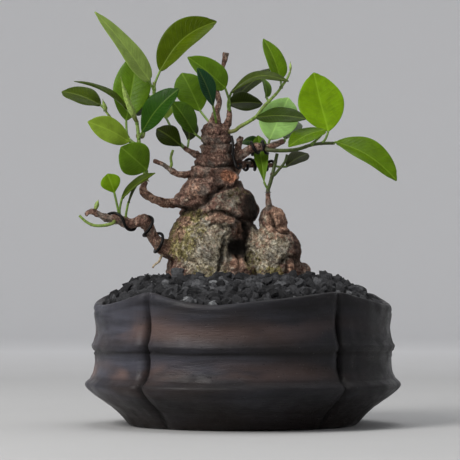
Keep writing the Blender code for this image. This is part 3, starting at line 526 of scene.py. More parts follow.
class Finish:
    """A material's nodes, built by short calls.  Positions are in millimetres."""

    def __init__(self, name, roughness=0.5, **sockets):
        self.material = bpy.data.materials.new(name)
        self.material.use_nodes = True
        self.tree = self.material.node_tree
        self.shader = self.tree.nodes["Principled BSDF"]
        self.shader.inputs["Roughness"].default_value = roughness
        for socket, value in sockets.items():
            self.shader.inputs[socket.replace("_", " ")].default_value = value
        place = self.tree.nodes.new("ShaderNodeTexCoord")
        self.position = self.node("ShaderNodeMapping", {"Vector": place.outputs["Object"],
                                                        "Scale": (1 / MM,) * 3}).outputs[0]

    def node(self, kind, inputs=(), **settings):
        made = self.tree.nodes.new(kind)
        for key, value in settings.items():
            setattr(made, key, value)
        for key, value in dict(inputs).items():
            self.feed(made.inputs[key], value)
        return made

    def feed(self, socket, value):
        if isinstance(value, bpy.types.NodeSocket):
            self.tree.links.new(value, socket)
        elif isinstance(value, tuple) and len(value) == 3 and socket.type == "RGBA":
            socket.default_value = (*value, 1.0)
        else:
            socket.default_value = value

    def noise(self, scale, detail=4.0, roughness=0.55, distortion=0.0, position=None):
        return self.node("ShaderNodeTexNoise", {
            "Vector": position or self.position, "Scale": scale, "Detail": detail,
            "Roughness": roughness, "Distortion": distortion}).outputs["Fac"]

    def cells(self, scale, feature="F1", position=None, randomness=1.0):
        return self.node("ShaderNodeTexVoronoi", {
            "Vector": position or self.position, "Scale": scale, "Randomness": randomness},
            feature=feature).outputs["Distance"]

    def stretched(self, x, y, z):
        """The position scaled along each axis, for streaks and bands."""
        return self.node("ShaderNodeMapping", {"Vector": self.position,
                                               "Scale": (x, y, z)}).outputs[0]

    def ramp(self, value, *stops):
        """Colours over 0 to 1: each stop is a place and a colour."""
        made = self.node("ShaderNodeValToRGB", {"Fac": value})
        points = made.color_ramp.elements
        while len(points) < len(stops):
            points.new(0.5)
        for point, (place, colour) in zip(points, stops):
            point.position = place
            point.color = (*colour, 1.0)
        return made.outputs["Color"]

    def window(self, value, low, high, bottom=0.0, top=1.0):
        """Maps low..high to bottom..top, smoothly and clamped."""
        return self.node("ShaderNodeMapRange", {
            "Value": value, "From Min": low, "From Max": high, "To Min": bottom, "To Max": top},
            interpolation_type="SMOOTHSTEP").outputs["Result"]

    def mix(self, share, first, second, blend="MIX"):
        made = self.node("ShaderNodeMix", data_type="RGBA", blend_type=blend)
        self.feed(made.inputs["Factor"], share)
        self.feed(made.inputs[6], first)
        self.feed(made.inputs[7], second)
        return made.outputs[2]

    def calculate(self, operation, first, second=0.0):
        return self.node("ShaderNodeMath", {0: first, 1: second},
                         operation=operation).outputs[0]

    def sum(self, first, second):
        return self.calculate("ADD", first, second)

    def times(self, first, second):
        return self.calculate("MULTIPLY", first, second)

    def off_middle(self, value):
        """Distance of a noise value from its middle: near 0 along winding lines."""
        return self.calculate("ABSOLUTE", self.sum(value, -0.5))

    def painted(self, name):
        return self.node("ShaderNodeAttribute", attribute_name=name).outputs["Fac"]

    def bump(self, height, distance, strength=1.0, normal=None):
        """A bump of the given height in millimetres."""
        inputs = {"Height": height, "Distance": distance * MM, "Strength": strength}
        if normal is not None:
            inputs["Normal"] = normal
        return self.node("ShaderNodeBump", inputs).outputs["Normal"]

    def done(self, colour, normal=None, roughness=None):
        self.feed(self.shader.inputs["Base Color"], colour)
        if normal is not None:
            self.feed(self.shader.inputs["Normal"], normal)
        if roughness is not None:
            self.feed(self.shader.inputs["Roughness"], roughness)
        return self.material


def stoneware():
    """Smoke-fired clay: charcoal with mauve-brown bands and a blue-grey bloom that is partly a
    painted sheen, low sheen. Bands and bloom are painted strongest on the left as painted light,
    and scored lines, channels, grooves and pits get painted shade.
    """
    f = Finish("stoneware_smoked", 0.48, Specular_IOR_Level=0.20)
    # painted light: the bloom and the warm bands show strongest on the left, where the light falls,
    # and fade to bare charcoal on the right
    left_side_light = f.painted("left_side_light")
    charcoal = f.ramp(f.noise(0.22, 6.0, 0.65), (0.3, (0.003, 0.003, 0.003)),
                      (0.7, (0.011, 0.010, 0.012)))
    # blue-grey bloom of the firing, partly a painted sheen
    drift = f.noise(0.05, 3.0, 0.5, 0.3, f.stretched(0.30, 0.30, 1.2))
    bloom_and_sheen = f.ramp(drift, (0.40, (0.060, 0.046, 0.044)), (0.58, (0.088, 0.090, 0.116)))
    veil = f.noise(0.06, 4.0, 0.5, 0.3, f.stretched(0.22, 0.22, 1.8))
    cover = f.times(f.window(veil, 0.34, 0.66, 0.20, 1.0), left_side_light)
    colour = f.mix(cover, charcoal, bloom_and_sheen)
    patch = f.noise(0.045, 3.0, 0.5, 0.4, f.stretched(0.45, 0.45, 1.0))
    warm = f.times(f.painted("belly"), f.window(patch, 0.42, 0.58, 0.05, 1.0))
    colour = f.mix(f.times(warm, left_side_light), colour, (0.165, 0.104, 0.088))
    # darker level bands: painted shade at the groove and the flare's edge, and a darker band below
    # the rim
    dark_band = f.times(f.painted("dark_band"), f.window(veil, 0.30, 0.62, 1.0, 0.45))
    colour = f.mix(dark_band, colour, (0.010, 0.009, 0.010))
    # painted shade in the scored lines
    colour = f.mix(f.painted("scored_line_shade"), colour, (0.006, 0.005, 0.005))
    colour = f.mix(f.painted("foot"), colour, (0.018, 0.012, 0.009))
    # painted shade in the channels between the lobes
    colour = f.mix(f.painted("channel"), colour, (0.008, 0.007, 0.007))
    specks = f.window(f.cells(0.75), 0.0, 0.16, 0.75, 0.0)
    sparse = f.window(f.noise(0.4, 2.0), 0.55, 0.62)
    colour = f.mix(f.times(specks, sparse), colour, (0.20, 0.18, 0.17))
    pits = f.window(f.cells(0.34, position=f.stretched(1.0, 1.0, 1.3)), 0.0, 0.2, 1.0, 0.0)
    # painted shade in the pits
    colour = f.mix(f.times(pits, 0.6), colour, (0.010, 0.009, 0.010))
    drag = f.noise(0.5, 5.0, 0.6, 0.3, f.stretched(0.35, 0.35, 2.6))
    grain = f.noise(2.2, 5.0, 0.7)
    height = f.sum(f.sum(f.times(drag, 0.45), f.times(grain, 0.18)), f.times(pits, -0.35))
    shine = f.window(f.noise(0.12, 4.0), 0.35, 0.7, 0.32, 0.56)
    return f.done(colour, f.bump(height, 0.5), shine)


def lava_grit():
    """Angular lava grains, from black to mid grey, with a few pale ones, and painted shade in their
    pores.
    """
    f = Finish("lava_grains", 0.92, Specular_IOR_Level=0.25)
    tone = f.painted("tone")
    colour = f.ramp(tone, (0.0, (0.016, 0.016, 0.017)), (0.45, (0.045, 0.045, 0.048)),
                    (0.85, (0.085, 0.086, 0.092)), (0.975, (0.15, 0.152, 0.16)),
                    (0.994, (0.36, 0.37, 0.38)))
    mottle = f.noise(0.9, 6.0, 0.7)
    colour = f.mix(f.window(mottle, 0.42, 0.62, 0.0, 0.55), colour, (0.020, 0.020, 0.023))
    pores = f.window(f.cells(1.6), 0.05, 0.32, 1.0, 0.0)
    # painted shade in the pores
    colour = f.mix(f.times(pores, 0.7), colour, (0.006, 0.006, 0.007))
    dust = f.window(f.noise(2.6, 3.0), 0.58, 0.7, 0.0, 0.35)
    colour = f.mix(dust, colour, (0.17, 0.17, 0.175))
    height = f.sum(f.noise(1.6, 6.0, 0.75), f.times(pores, -0.7))
    return f.done(colour, f.bump(height, 0.9))


def bark():
    """Fig bark: brown-purple and flecked above, grey-beige with lichen on the bulbs, with painted
    shade in its hollows, cracks, pocks, furrows and creases.
    """
    f = Finish("fig_bark", 0.82, Specular_IOR_Level=0.22)
    broad = f.noise(0.16, 6.0, 0.62, 0.5)
    grain = f.noise(0.70, 8.0, 0.74)
    clump = f.noise(0.30, 5.0, 0.60, 1.2)
    fine = f.sum(f.times(f.sum(f.sum(grain, clump), -1.0), 0.72), 0.5)
    tiny = f.noise(2.2, 4.0, 0.7)
    ridges = f.noise(0.55, 5.0, 0.6, 1.2, f.stretched(1.0, 1.0, 0.7))
    ridges = f.window(f.off_middle(ridges), 0.0, 0.055, 1.0, 0.0)
    brown = f.ramp(f.sum(f.times(broad, 0.35), f.times(fine, 0.65)),
                   (0.38, (0.095, 0.048, 0.040)), (0.49, (0.390, 0.215, 0.160)),
                   (0.59, (0.730, 0.480, 0.360)))
    grey = f.ramp(fine, (0.38, (0.100, 0.090, 0.080)), (0.60, (0.440, 0.380, 0.320)))
    brown = f.mix(f.window(broad, 0.48, 0.62, 0.0, 0.8), brown, grey)
    flecks = f.window(f.cells(0.55), 0.08, 0.24, 1.0, 0.0)
    some = f.window(f.noise(0.30, 2.0), 0.42, 0.54)
    brown = f.mix(f.times(f.times(flecks, some), 0.9), brown, (0.86, 0.66, 0.50))
    pale = f.ramp(fine, (0.37, (0.240, 0.185, 0.120)), (0.48, (0.660, 0.560, 0.390)),
                  (0.62, (0.930, 0.860, 0.680)))
    ashen = f.ramp(fine, (0.38, (0.330, 0.305, 0.260)), (0.60, (0.900, 0.860, 0.760)))
    pale = f.mix(f.window(f.noise(0.20, 3.0), 0.46, 0.62, 0.0, 0.5), pale, ashen)
    blush = f.window(f.noise(0.28, 4.0, 0.6, 0.8), 0.52, 0.66, 0.0, 0.7)
    pale = f.mix(blush, pale, f.ramp(fine, (0.38, (0.320, 0.180, 0.130)),
                                     (0.60, (0.820, 0.580, 0.450))))
    moss = f.ramp(fine, (0.37, (0.075, 0.066, 0.020)), (0.50, (0.430, 0.370, 0.110)),
                  (0.63, (0.800, 0.700, 0.300)))
    rose = f.ramp(fine, (0.38, (0.290, 0.130, 0.085)), (0.60, (0.900, 0.560, 0.390)))
    ragged = f.times(f.sum(f.noise(0.45, 7.0, 0.72), -0.5), 2.6)
    other = f.times(f.sum(f.noise(0.38, 7.0, 0.72, 0.6), -0.5), 2.6)
    colour = f.mix(f.window(f.sum(f.painted("pale"), other), 0.25, 0.6), brown, pale)
    colour = f.mix(f.window(f.sum(f.painted("moss"), ragged), 0.38, 0.8, 0.0, 0.85), colour, moss)
    colour = f.mix(f.window(f.sum(f.painted("rose"), other), 0.38, 0.8, 0.0, 0.85), colour, rose)
    colour = f.mix(f.painted("scar"), colour,
                   f.ramp(f.noise(0.9, 5.0, 0.6, 1.6), (0.36, (0.340, 0.120, 0.066)),
                          (0.62, (0.860, 0.420, 0.250))))
    # painted shade: darker where the fine grain, the cracks, the pocks and the furrows sink in
    colour = f.mix(f.times(f.window(tiny, 0.40, 0.54, 1.0, 0.0), 0.26), colour,
                   (0.030, 0.022, 0.016))
    cracks = f.window(f.off_middle(f.noise(0.17, 5.0, 0.6, 1.6)), 0.0, 0.020, 1.0, 0.0)
    colour = f.mix(f.times(cracks, 0.70), colour, (0.030, 0.021, 0.012))
    pocks = f.window(f.cells(0.40), 0.0, 0.17, 1.0, 0.0)
    colour = f.mix(f.times(pocks, 0.55), colour, (0.020, 0.016, 0.010))
    colour = f.mix(f.times(ridges, 0.50), colour, (0.026, 0.019, 0.013))
    # painted shade in the creases and hollows
    colour = f.mix(f.painted("dark"), colour, (0.013, 0.010, 0.007))
    hollows = f.sum(f.sum(ridges, pocks), f.times(cracks, 1.4))
    height = f.sum(f.sum(fine, f.times(tiny, 0.35)), f.times(hollows, -0.45))
    return f.done(colour, f.bump(height, 1.25))


def green_stem(name, colour, woody):
    """Young shoots: green, streaked, browning where they have begun to turn to wood."""
    f = Finish(name, 0.45, Specular_IOR_Level=0.4)
    streaks = f.noise(0.9, 4.0, 0.6, 0.2)
    base = f.mix(f.window(streaks, 0.35, 0.68), tuple(0.62 * part for part in colour),
                 tuple(min(1.25 * part, 1.0) for part in colour))
    base = f.mix(f.times(f.painted("wood"), f.window(streaks, 0.30, 0.55)), base, woody)
    specks = f.window(f.cells(1.5), 0.0, 0.18, 0.5, 0.0)
    base = f.mix(specks, base, (0.10, 0.07, 0.03))
    return f.done(base, f.bump(f.noise(2.0, 4.0), 0.15))


SIDE_VEINS = 15                 # on each half of a blade


def leaf_face(name, colour, vein, roughness, shine, vein_depth):
    """One side of a leaf, with a pale midrib, fine side veins running to the margin and a painted
    rim highlight along the margin.
    """
    f = Finish(name, roughness, Specular_IOR_Level=shine, Subsurface_Weight=0.10,
               Subsurface_Scale=0.6 * MM, Subsurface_Radius=(0.6, 1.0, 0.25))
    across = f.painted("across")
    along = f.painted("along")
    wide = f.painted("reach")
    mottle = f.noise(0.20, 4.0, 0.55, 0.4)
    shade = tuple(0.84 * part for part in colour)
    base = f.mix(f.window(mottle, 0.32, 0.68), shade, tuple(1.12 * part for part in colour))
    # painted highlight: the margin is painted brighter, as a rim of light
    edge = f.window(across, 0.90, 1.0, 0.0, 0.35)
    base = f.mix(edge, base, tuple(min(1.7 * part, 1.0) for part in colour))
    slant = f.sum(along, f.times(across, -0.16))
    wobble = f.times(f.sum(f.noise(0.16, 2.0), -0.5), 0.05)
    comb = f.calculate("SINE", f.times(f.sum(slant, wobble), 2 * math.pi * SIDE_VEINS))
    lines = f.times(f.window(comb, 0.80, 1.0), f.window(across, 0.03, 0.12))
    lines = f.times(lines, f.window(across, 0.70, 0.98, 1.0, 0.15))
    base = f.mix(f.times(lines, 0.13), base, vein)
    rib = f.window(wide, 0.20, 0.52, 1.0, 0.0)
    base = f.mix(f.times(rib, 0.58), base, vein)
    spots = f.window(f.cells(0.30), 0.0, 0.05, 0.6, 0.0)
    base = f.mix(f.times(spots, f.window(f.noise(0.1, 2.0), 0.55, 0.62)), base,
                 (0.12, 0.09, 0.03))
    height = f.sum(f.times(lines, vein_depth), f.times(f.noise(1.8, 4.0, 0.6), 0.25))
    gloss = f.window(f.noise(0.5, 3.0), 0.3, 0.7, roughness - 0.06, roughness + 0.10)
    return f.done(base, f.bump(height, 0.16), gloss)


def black_wire():
    """Annealed aluminium wire, anodised brown-black, scuffed a little."""
    f = Finish("wire_black", 0.42, Metallic=0.75)
    scuff = f.noise(1.4, 5.0, 0.7)
    colour = f.mix(f.window(scuff, 0.55, 0.72, 0.0, 0.6), (0.010, 0.009, 0.009),
                   (0.075, 0.068, 0.064))
    return f.done(colour, f.bump(f.noise(3.0, 3.0), 0.06),
                  f.window(scuff, 0.35, 0.7, 0.34, 0.55))


def screen_plastic():
    f = Finish("screen_mesh_plastic", 0.6, Specular_IOR_Level=0.4)
    colour = f.mix(f.noise(1.2, 4.0), (0.015, 0.015, 0.016), (0.045, 0.045, 0.048))
    return f.done(colour, f.bump(f.noise(4.0, 3.0), 0.05))


def pale_root():
    f = Finish("aerial_root_skin", 0.8, Specular_IOR_Level=0.3)
    colour = f.ramp(f.noise(0.9, 5.0, 0.65), (0.35, (0.26, 0.19, 0.11)),
                    (0.65, (0.62, 0.52, 0.36)))
    return f.done(colour, f.bump(f.noise(2.2, 4.0), 0.25))


# ------------------------------------------------------------------ pot

# Outer profile at a lobe's centre: radius, height, pinch of the lobe's ends, channel depth.
POT_OUTSIDE = (
    (BASE_RADIUS - 1.2, 0.0, 0.0, 0.3),
    (BASE_RADIUS + 0.8, 1.0, 0.0, 0.6),
    (59.6, 6.2, 0.3, 1.4),
    (65.2, 10.6, 0.6, 1.8),
    (70.4, 14.2, 0.9, 2.0),
    (FLARE_RADIUS - 0.8, 17.6, 1.2, 2.2),
    (FLARE_RADIUS, 19.8, 1.2, 2.2),
    (73.2, 22.2, 1.4, 2.6),
    (71.4, 25.5, 1.6, 3.0),
    (70.7, 31.0, 1.8, 3.2),
    (RIDGE_RADIUS - 0.5, 35.8, 1.8, 3.0),
    (RIDGE_RADIUS, 37.8, 1.8, 3.0),
    (RIDGE_RADIUS - 1.0, 40.0, 1.8, 3.0),
    (70.2, 46.0, 2.0, 3.2),
    (RIM_RADIUS, 53.5, 2.2, 2.0),
    (RIM_RADIUS - 0.6, RIM_HEIGHT - 0.6, 2.2, 1.3),
    (RIM_RADIUS - 2.0, RIM_HEIGHT, 2.2, 1.0),
)
POT_INSIDE = (
    (RIM_RADIUS - WALL, RIM_HEIGHT - 1.0, 2.2, 2.0),
    (RIM_RADIUS - WALL - 0.6, 50.0, 2.0, 1.8),
    (RIM_RADIUS - WALL - 1.0, 26.0, 2.0, 1.8),
    (61.0, 15.0, 1.2, 1.2),
    (50.0, FLOOR + 0.6, 0.5, 0.4),
    (46.5, FLOOR, 0.4, 0.2),
)
NOTCH_DIP = 0.10                # how far the rim sinks at a channel, as a share of its rise
LOBE_SAMPLES = 60
PROFILE_SAMPLES = 5
# Fine lines scored in the clay: height and depth.
SCORED_LINES = ((53.2, 0.40), (34.8, 0.95), (32.6, 0.25), (42.8, 0.20), (22.6, 0.35), (9.0, 0.25))
# Where the fire left the clay warm: height, half width, strength.
WARM_BANDS = ((44.0, 4.2, 0.85), (26.5, 4.0, 1.0))
# Darker level bands, height, half width, strength: one below the rim, and painted shade along the
# groove by the ridge and at the flare's edge.
DARK_BANDS = ((56.0, 5.5, 0.8), (36.5, 2.0, 0.7), (20.0, 1.8, 0.9))


def rim_rise(lobe, step):
    """How far the rim has risen, 0 at its lowest place and 1 at the channels."""
    _, _, low, left_power, right_power = lobe
    if step < low:
        return ((low - step) / (1 + low)) ** left_power
    return ((step - low) / (1 - low)) ** right_power


def lobe_steps():
    """Steps round a lobe, closer together beside its channels."""
    return [math.sin(math.pi / 2 * (2 * k / LOBE_SAMPLES - 1)) for k in range(LOBE_SAMPLES)]


def places_round():
    """Every lobe with every step, once round the pot."""
    return [(lobe, step) for lobe in LOBES for step in lobe_steps()]


def pot_spot(lobe, step, row, outside, inset=0.0):
    """A point of the pot's skin for a row of its outer or inner profile."""
    radius, height, pinch, channel = row
    centre, width = lobe[0], lobe[1]
    angle = math.radians(centre + step * width / 2)
    from_channel = (1 - abs(step)) * math.radians(width / 2) * radius
    lift_share = min(max((height - 30.0) / (RIM_HEIGHT - 30.0), 0.0), 1.0) ** 1.5
    dip = NOTCH_DIP * math.exp(-(from_channel / 2.2) ** 2)
    level = height + RIM_RISE * lift_share * (rim_rise(lobe, step) - dip)
    reach = radius - inset - pinch * step ** 2
    if outside:
        reach -= channel * (0.95 * math.exp(-(from_channel / 1.5) ** 2)
                            + 0.30 * math.exp(-(from_channel / 5.5) ** 2))
        reach += 0.17 * channel * math.exp(-((from_channel - 5.0) / 2.2) ** 2)
        for line, depth in SCORED_LINES:
            wander = 0.9 * noise.noise(Vector((angle * 2.0, line, 0.0)))
            reach -= depth * math.exp(-((height - line - wander) / 0.55) ** 2)
    else:
        reach -= channel * math.exp(-(from_channel / 5.0) ** 2)
    spot = Vector((reach * math.cos(angle), reach * math.sin(angle), level))
    hand = 0.45 * noise.noise(spot * 0.045) + 0.16 * noise.noise(spot * 0.22)
    if outside and height > 1.0:
        spot.x += hand * math.cos(angle)
        spot.y += hand * math.sin(angle)
    return spot


def refined_profile(rows, samples):
    """Rows between the profile's own, on a smooth curve through them."""
    curve = []
    count = len(rows)
    for index in range(count - 1):
        before = rows[max(index - 1, 0)]
        start, end = rows[index], rows[index + 1]
        after = rows[min(index + 2, count - 1)]
        for step in range(samples):
            t = step / samples
            curve.append(tuple(
                0.5 * (2 * b + (c - a) * t + (2 * a - 5 * b + 4 * c - d) * t ** 2
                       + (3 * b - a - 3 * c + d) * t ** 3)
                for a, b, c, d in zip(before, start, end, after)))
    curve.append(rows[-1])
    return curve


def pot_ring(row, outside, inset=0.0):
    return [pot_spot(lobe, step, row, outside, inset) for lobe, step in places_round()]


def bands_at(level, bands):
    """Strength of soft level bands at a height."""
    return sum(strength * math.exp(-((level - middle) / half) ** 2)
               for middle, half, strength in bands)


def pot_marks(lobe, step, level, on_outside):
    """How strongly each mark shows at a place on the pot: marks of the clay, painted shade in its
    grooves and channels, and painted light on its left side.
    """
    angle = lobe[0] + step * lobe[1] / 2
    from_channel = (1 - abs(step)) * math.radians(lobe[1] / 2) * RIM_RADIUS
    fading = min(1.0, max(0.15, (RIM_HEIGHT - level) / 12.0))
    lines = sum(depth * math.exp(-((level - line) / 0.8) ** 2) for line, depth in SCORED_LINES)
    facing = 0.5 - 0.5 * math.cos(math.radians(angle + 8))
    return {
        "belly": bands_at(level, WARM_BANDS),
        # darker level bands: painted shade at the groove and the flare's edge, and a darker band
        # below the rim
        "dark_band": min(1.0, bands_at(level, DARK_BANDS)),
        "foot": 0.85 * max(0.0, 1 - level / 17.0) if on_outside else 0.3,
        # painted shade in the channels, fading towards the rim
        "channel": 0.9 * fading * math.exp(-(from_channel / 1.5) ** 2) if on_outside else 0.0,
        # painted shade along the scored lines, outside only
        "scored_line_shade": min(1.0, 0.9 * lines) if on_outside else 0.0,
        # painted light: 1 on the left side, where the light falls, near 0 on the right
        "left_side_light": 0.04 + 0.96 * facing ** 1.25,
    }


def make_pot():
    outside = refined_profile(POT_OUTSIDE, PROFILE_SAMPLES)
    inside = refined_profile((POT_OUTSIDE[-1],) + POT_INSIDE, PROFILE_SAMPLES)[1:]
    rings = [pot_ring(row, True) for row in outside] + [pot_ring(row, False) for row in inside]
    pot_mesh = mesh_from(rings_to_bmesh(rings), "pot_clay")
    marks = [pot_marks(lobe, step, row[1], index < len(outside))
             for index, row in enumerate(outside + inside)
             for lobe, step in places_round()]
    for name in marks[0]:
        paint(pot_mesh, name, [mark[name] for mark in marks])
    pot = add_piece("pot_clay", pot_mesh, [stoneware()], "stoneware", "pot")
    for side in (-1, 1):
        drill_drain(pot, side * DRAIN_OFFSET)


def drill_drain(pot, x):
    """Cuts a round hole through the pot's floor."""
    sides = 40
    hole = [[Vector((x + DRAIN_RADIUS * math.cos(2 * math.pi * k / sides),
                     DRAIN_RADIUS * math.sin(2 * math.pi * k / sides), level))
             for k in range(sides)] for level in (-2.0, FLOOR + 2.0)]
    cutter = bpy.data.objects.new("drain_cutter", mesh_from(rings_to_bmesh(hole), "hole"))
    bpy.context.scene.collection.objects.link(cutter)
    cut = pot.modifiers.new("drain", "BOOLEAN")
    cut.operation = "DIFFERENCE"
    cut.solver = "EXACT"
    cut.object = cutter
    bake_modifiers(pot)
    bpy.data.objects.remove(cutter, do_unlink=True)


def bake_modifiers(item):
    """Replaces an object's mesh by what its modifiers make of it."""
    graph = bpy.context.evaluated_depsgraph_get()
    made = bpy.data.meshes.new_from_object(item.evaluated_get(graph))
    item.modifiers.clear()
    item.data = made


def make_drain_screens():
    """Round plastic mesh over the holes: crossed ribs inside a ring."""
    finish = screen_plastic()
    for name, node, side in (("drain_mesh_left", "drain_screen_left", -1),
                             ("drain_mesh_right", "drain_screen_right", 1)):
        skin = bmesh.new()
        centre = Vector((side * DRAIN_OFFSET, 0, FLOOR + 0.85))
        for direction in (0, 1):
            for index in range(-6, 7):
                offset = index * SCREEN_PITCH
                half = math.sqrt(SCREEN_RADIUS ** 2 - offset ** 2) - 0.2
                lane = Vector((offset, 0, 0)) if direction else Vector((0, offset, 0))
                run = Vector((0, half, 0)) if direction else Vector((half, 0, 0))
                merge_into(skin, rings_to_bmesh(
                    tube_rings([centre + lane - run, centre + lane + run], [0.3, 0.3], 6)))
        hoop = [centre + Vector((math.cos(turn), math.sin(turn), 0)) * (SCREEN_RADIUS - 0.45)
                for turn in (2 * math.pi * k / 48 for k in range(48))]
        for start, end in zip(hoop, hoop[1:] + hoop[:1]):
            reach = (end - start) * 0.1
            merge_into(skin, rings_to_bmesh(
                tube_rings([start - reach, end + reach], [0.4, 0.4], 6)))
        add_piece(name, mesh_from(skin, name), [finish], "screen_plastic", node)


# ------------------------------------------------------------------ soil

OVAL_POWER = 2.4                # 2 is an ellipse, more is squarer
MOUND_SHARES = (0.0, 0.1, 0.2, 0.3, 0.4, 0.5, 0.62, 0.72, 0.82, 0.92, 1.0)
ROCK_SHAPES = 14
ROW_STEP = 0.87                 # distance of two rows of grains, in spacings
# A pale stone against the trunk's foot: centre, size and tone.
LEANING_GRAIN = ((-30.5, -14.5, 71.6), 6.2, 0.93)
# Layers of grains: spacing, height of their centres above the bed, smallest and largest size,
# share of the places that are filled.
GRAIN_LAYERS = ((3.5, -0.3, 3.2, 6.0, 1.0), (4.6, 1.2, 2.6, 5.6, 0.6), (7.0, 2.2, 2.4, 5.4, 0.4))


def pocket_ring(half_axes, level):
    """An oval outline round the root base, with as many points as a pot ring."""
    ring = []
    for lobe, step in places_round():
        angle = math.radians(lobe[0] + step * lobe[1] / 2)
        across = Vector((math.cos(angle) / half_axes[0], math.sin(angle) / half_axes[1]))
        reach = (abs(across.x) ** OVAL_POWER + abs(across.y) ** OVAL_POWER) ** (-1 / OVAL_POWER)
        ring.append(Vector((ROOT_CENTRE[0] + reach * math.cos(angle),
                            ROOT_CENTRE[1] + reach * math.sin(angle), level)))
    return ring


def mound_ring(outer, inner, share):
    rise = math.sin(share * math.pi / 2)
    ring = []
    for far, near in zip(outer, inner):
        spot = far.lerp(near, share)
        spot.z = far.z + (MOUND_HEIGHT - far.z) * rise
        spot.z += 1.2 * noise.noise(Vector((spot.x, spot.y, 0)) * 0.08) * min(share * 4, 1)
        ring.append(spot)
    return ring


def make_soil_bed():
    """The fine grit that shows between the grains."""
    edge = pot_ring((RIM_RADIUS - WALL - 0.2, RIM_HEIGHT - SOIL_BELOW_RIM, 2.1, 2.0), False, 0.45)
    floor = [spot - Vector((0, 0, 9.0)) for spot in edge]
    pocket = pocket_ring(POCKET_TOP, MOUND_HEIGHT)
    mound = [mound_ring(edge, pocket, share) for share in MOUND_SHARES]
    middle = [mound[-1][k].lerp(Vector((*ROOT_CENTRE, MOUND_HEIGHT)), 0.6)
              for k in range(len(pocket))]
    bed = mesh_from(rings_to_bmesh([floor] + mound + [middle]), "soil_bed")
    paint(bed, "tone", [0.12] * len(bed.vertices))
    return bed


def rock_shapes(rng):
    """A few angular stones of unit size, cut flat here and there."""
    shapes = []
    for _ in range(ROCK_SHAPES):
        ball = bmesh.new()
        bmesh.ops.create_icosphere(ball, subdivisions=2, radius=0.62)
        cuts = [(Vector((rng.gauss(0, 1), rng.gauss(0, 1), rng.gauss(0, 1))).normalized(),
                 rng.uniform(0.34, 0.52)) for _ in range(7)]
        shift = Vector((rng.uniform(0, 50), rng.uniform(0, 50), rng.uniform(0, 50)))
        for vertex in ball.verts:
            vertex.co *= 1 + 0.55 * noise.noise(vertex.co * 2.6 + shift)
            for facing, limit in cuts:
                over = vertex.co.dot(facing) - limit
                if over > 0:
                    vertex.co -= facing * over
            vertex.co *= 1 + 0.20 * noise.noise(vertex.co * 6.5 + shift)
        faces = [[vertex.index for vertex in face.verts] for face in ball.faces]
        shapes.append((np.array([vertex.co for vertex in ball.verts]), faces))
        ball.free()
    return shapes


def grain_places(rng, bed_tree, wood_tree):
    """Where the grains lie, in rows set off by half a step: centre, size and tone of each."""
    places = []
    reach = RIM_RADIUS
    for spacing, lift, small, large, filled in GRAIN_LAYERS:
        rows = int(2 * reach / (spacing * ROW_STEP))
        for row in range(rows + 1):
            for column in range(int(2 * reach / spacing) + 1):
                x = -reach + spacing * (column + 0.5 * (row % 2)) + rng.uniform(-0.3, 0.3) * spacing
                y = -reach + spacing * ROW_STEP * row + rng.uniform(-0.3, 0.3) * spacing
                size = rng.uniform(small, large)
                tone = rng.random()
                keep = rng.random() < filled
                hit = bed_tree.ray_cast(Vector((x, y, 120)) * MM, Vector((0, 0, -1)))[0]
                if hit is None or not keep:
                    continue
                centre = Vector((x, y, hit.z / MM + lift))
                if not clear_of_wall(centre, size):
                    continue
                near, facing, _, distance = wood_tree.find_nearest(centre * MM)
                inside = (centre * MM - near).dot(facing) < 0
                if inside or distance / MM < 0.22 * size:
                    continue
                places.append((centre, size, tone))
    centre, size, tone = LEANING_GRAIN
    places.append((Vector(centre), size, tone))
    return places


def clear_of_wall(centre, size):
    """Whether a grain lies within the pot's inner wall."""
    angle = math.degrees(math.atan2(centre.y, centre.x))
    for lobe in LOBES:
        step = ((angle - lobe[0] + 180) % 360 - 180) / (lobe[1] / 2)
        if abs(step) <= 1:
            row = (RIM_RADIUS - WALL, RIM_HEIGHT, 2.2, 2.0)
            wall = pot_spot(lobe, step, row, False)
            return math.hypot(centre.x, centre.y) + 0.44 * size < math.hypot(wall.x, wall.y)
    return False


def make_soil(wood_tree):
    rng = random.Random(11)
    bed = make_soil_bed()
    bed_tree = BVHTree.FromPolygons([vertex.co for vertex in bed.vertices],
                                    [list(face.vertices) for face in bed.polygons])
    shapes = rock_shapes(rng)
    points, faces, tones = [], [], []
    start = 0
    for centre, size, tone in grain_places(rng, bed_tree, wood_tree):
        shape, shape_faces = rng.choice(shapes)
        turn = Euler([rng.uniform(0, 2 * math.pi) for _ in range(3)]).to_matrix()
        stretch = Matrix.Diagonal([rng.uniform(0.82, 1.18) for _ in range(3)])
        moved = shape @ np.array(turn @ stretch).T * size + np.array(centre)
        points.append(moved)
        faces += [[start + index for index in face] for face in shape_faces]
        tones += [tone] * len(shape)
        start += len(shape)
    grains = bpy.data.meshes.new("lava_grains")
    grains.from_pydata((np.concatenate(points) * MM).tolist(), [], faces)
    paint(grains, "tone", tones)
    finish = lava_grit()
    add_piece("soil_bed", bed, [finish], "lava_grit", "soil")
    item = add_piece("lava_grains", grains, [finish], "lava_grit", "soil")
    item.data.set_sharp_from_angle(angle=math.radians(28))


# ------------------------------------------------------------------ trunk

WOOD_VOXEL = 0.55
PATCH_RAGGEDNESS = 2.4


def add_lump(skin, centre, half_axes, segments=32):
    made = bmesh.ops.create_uvsphere(skin, u_segments=segments, v_segments=segments // 2,
                                     radius=1.0)
    for vertex in made["verts"]:
        vertex.co = Vector(vertex.co[axis] * half_axes[axis] + centre[axis]
                           for axis in range(3)) * MM


def oval_ring(centre, axes, sides=32):
    return [Vector((centre[0] + axes[0] * math.cos(2 * math.pi * k / sides),
                    centre[1] + axes[1] * math.sin(2 * math.pi * k / sides), centre[2]))
            for k in range(sides)]


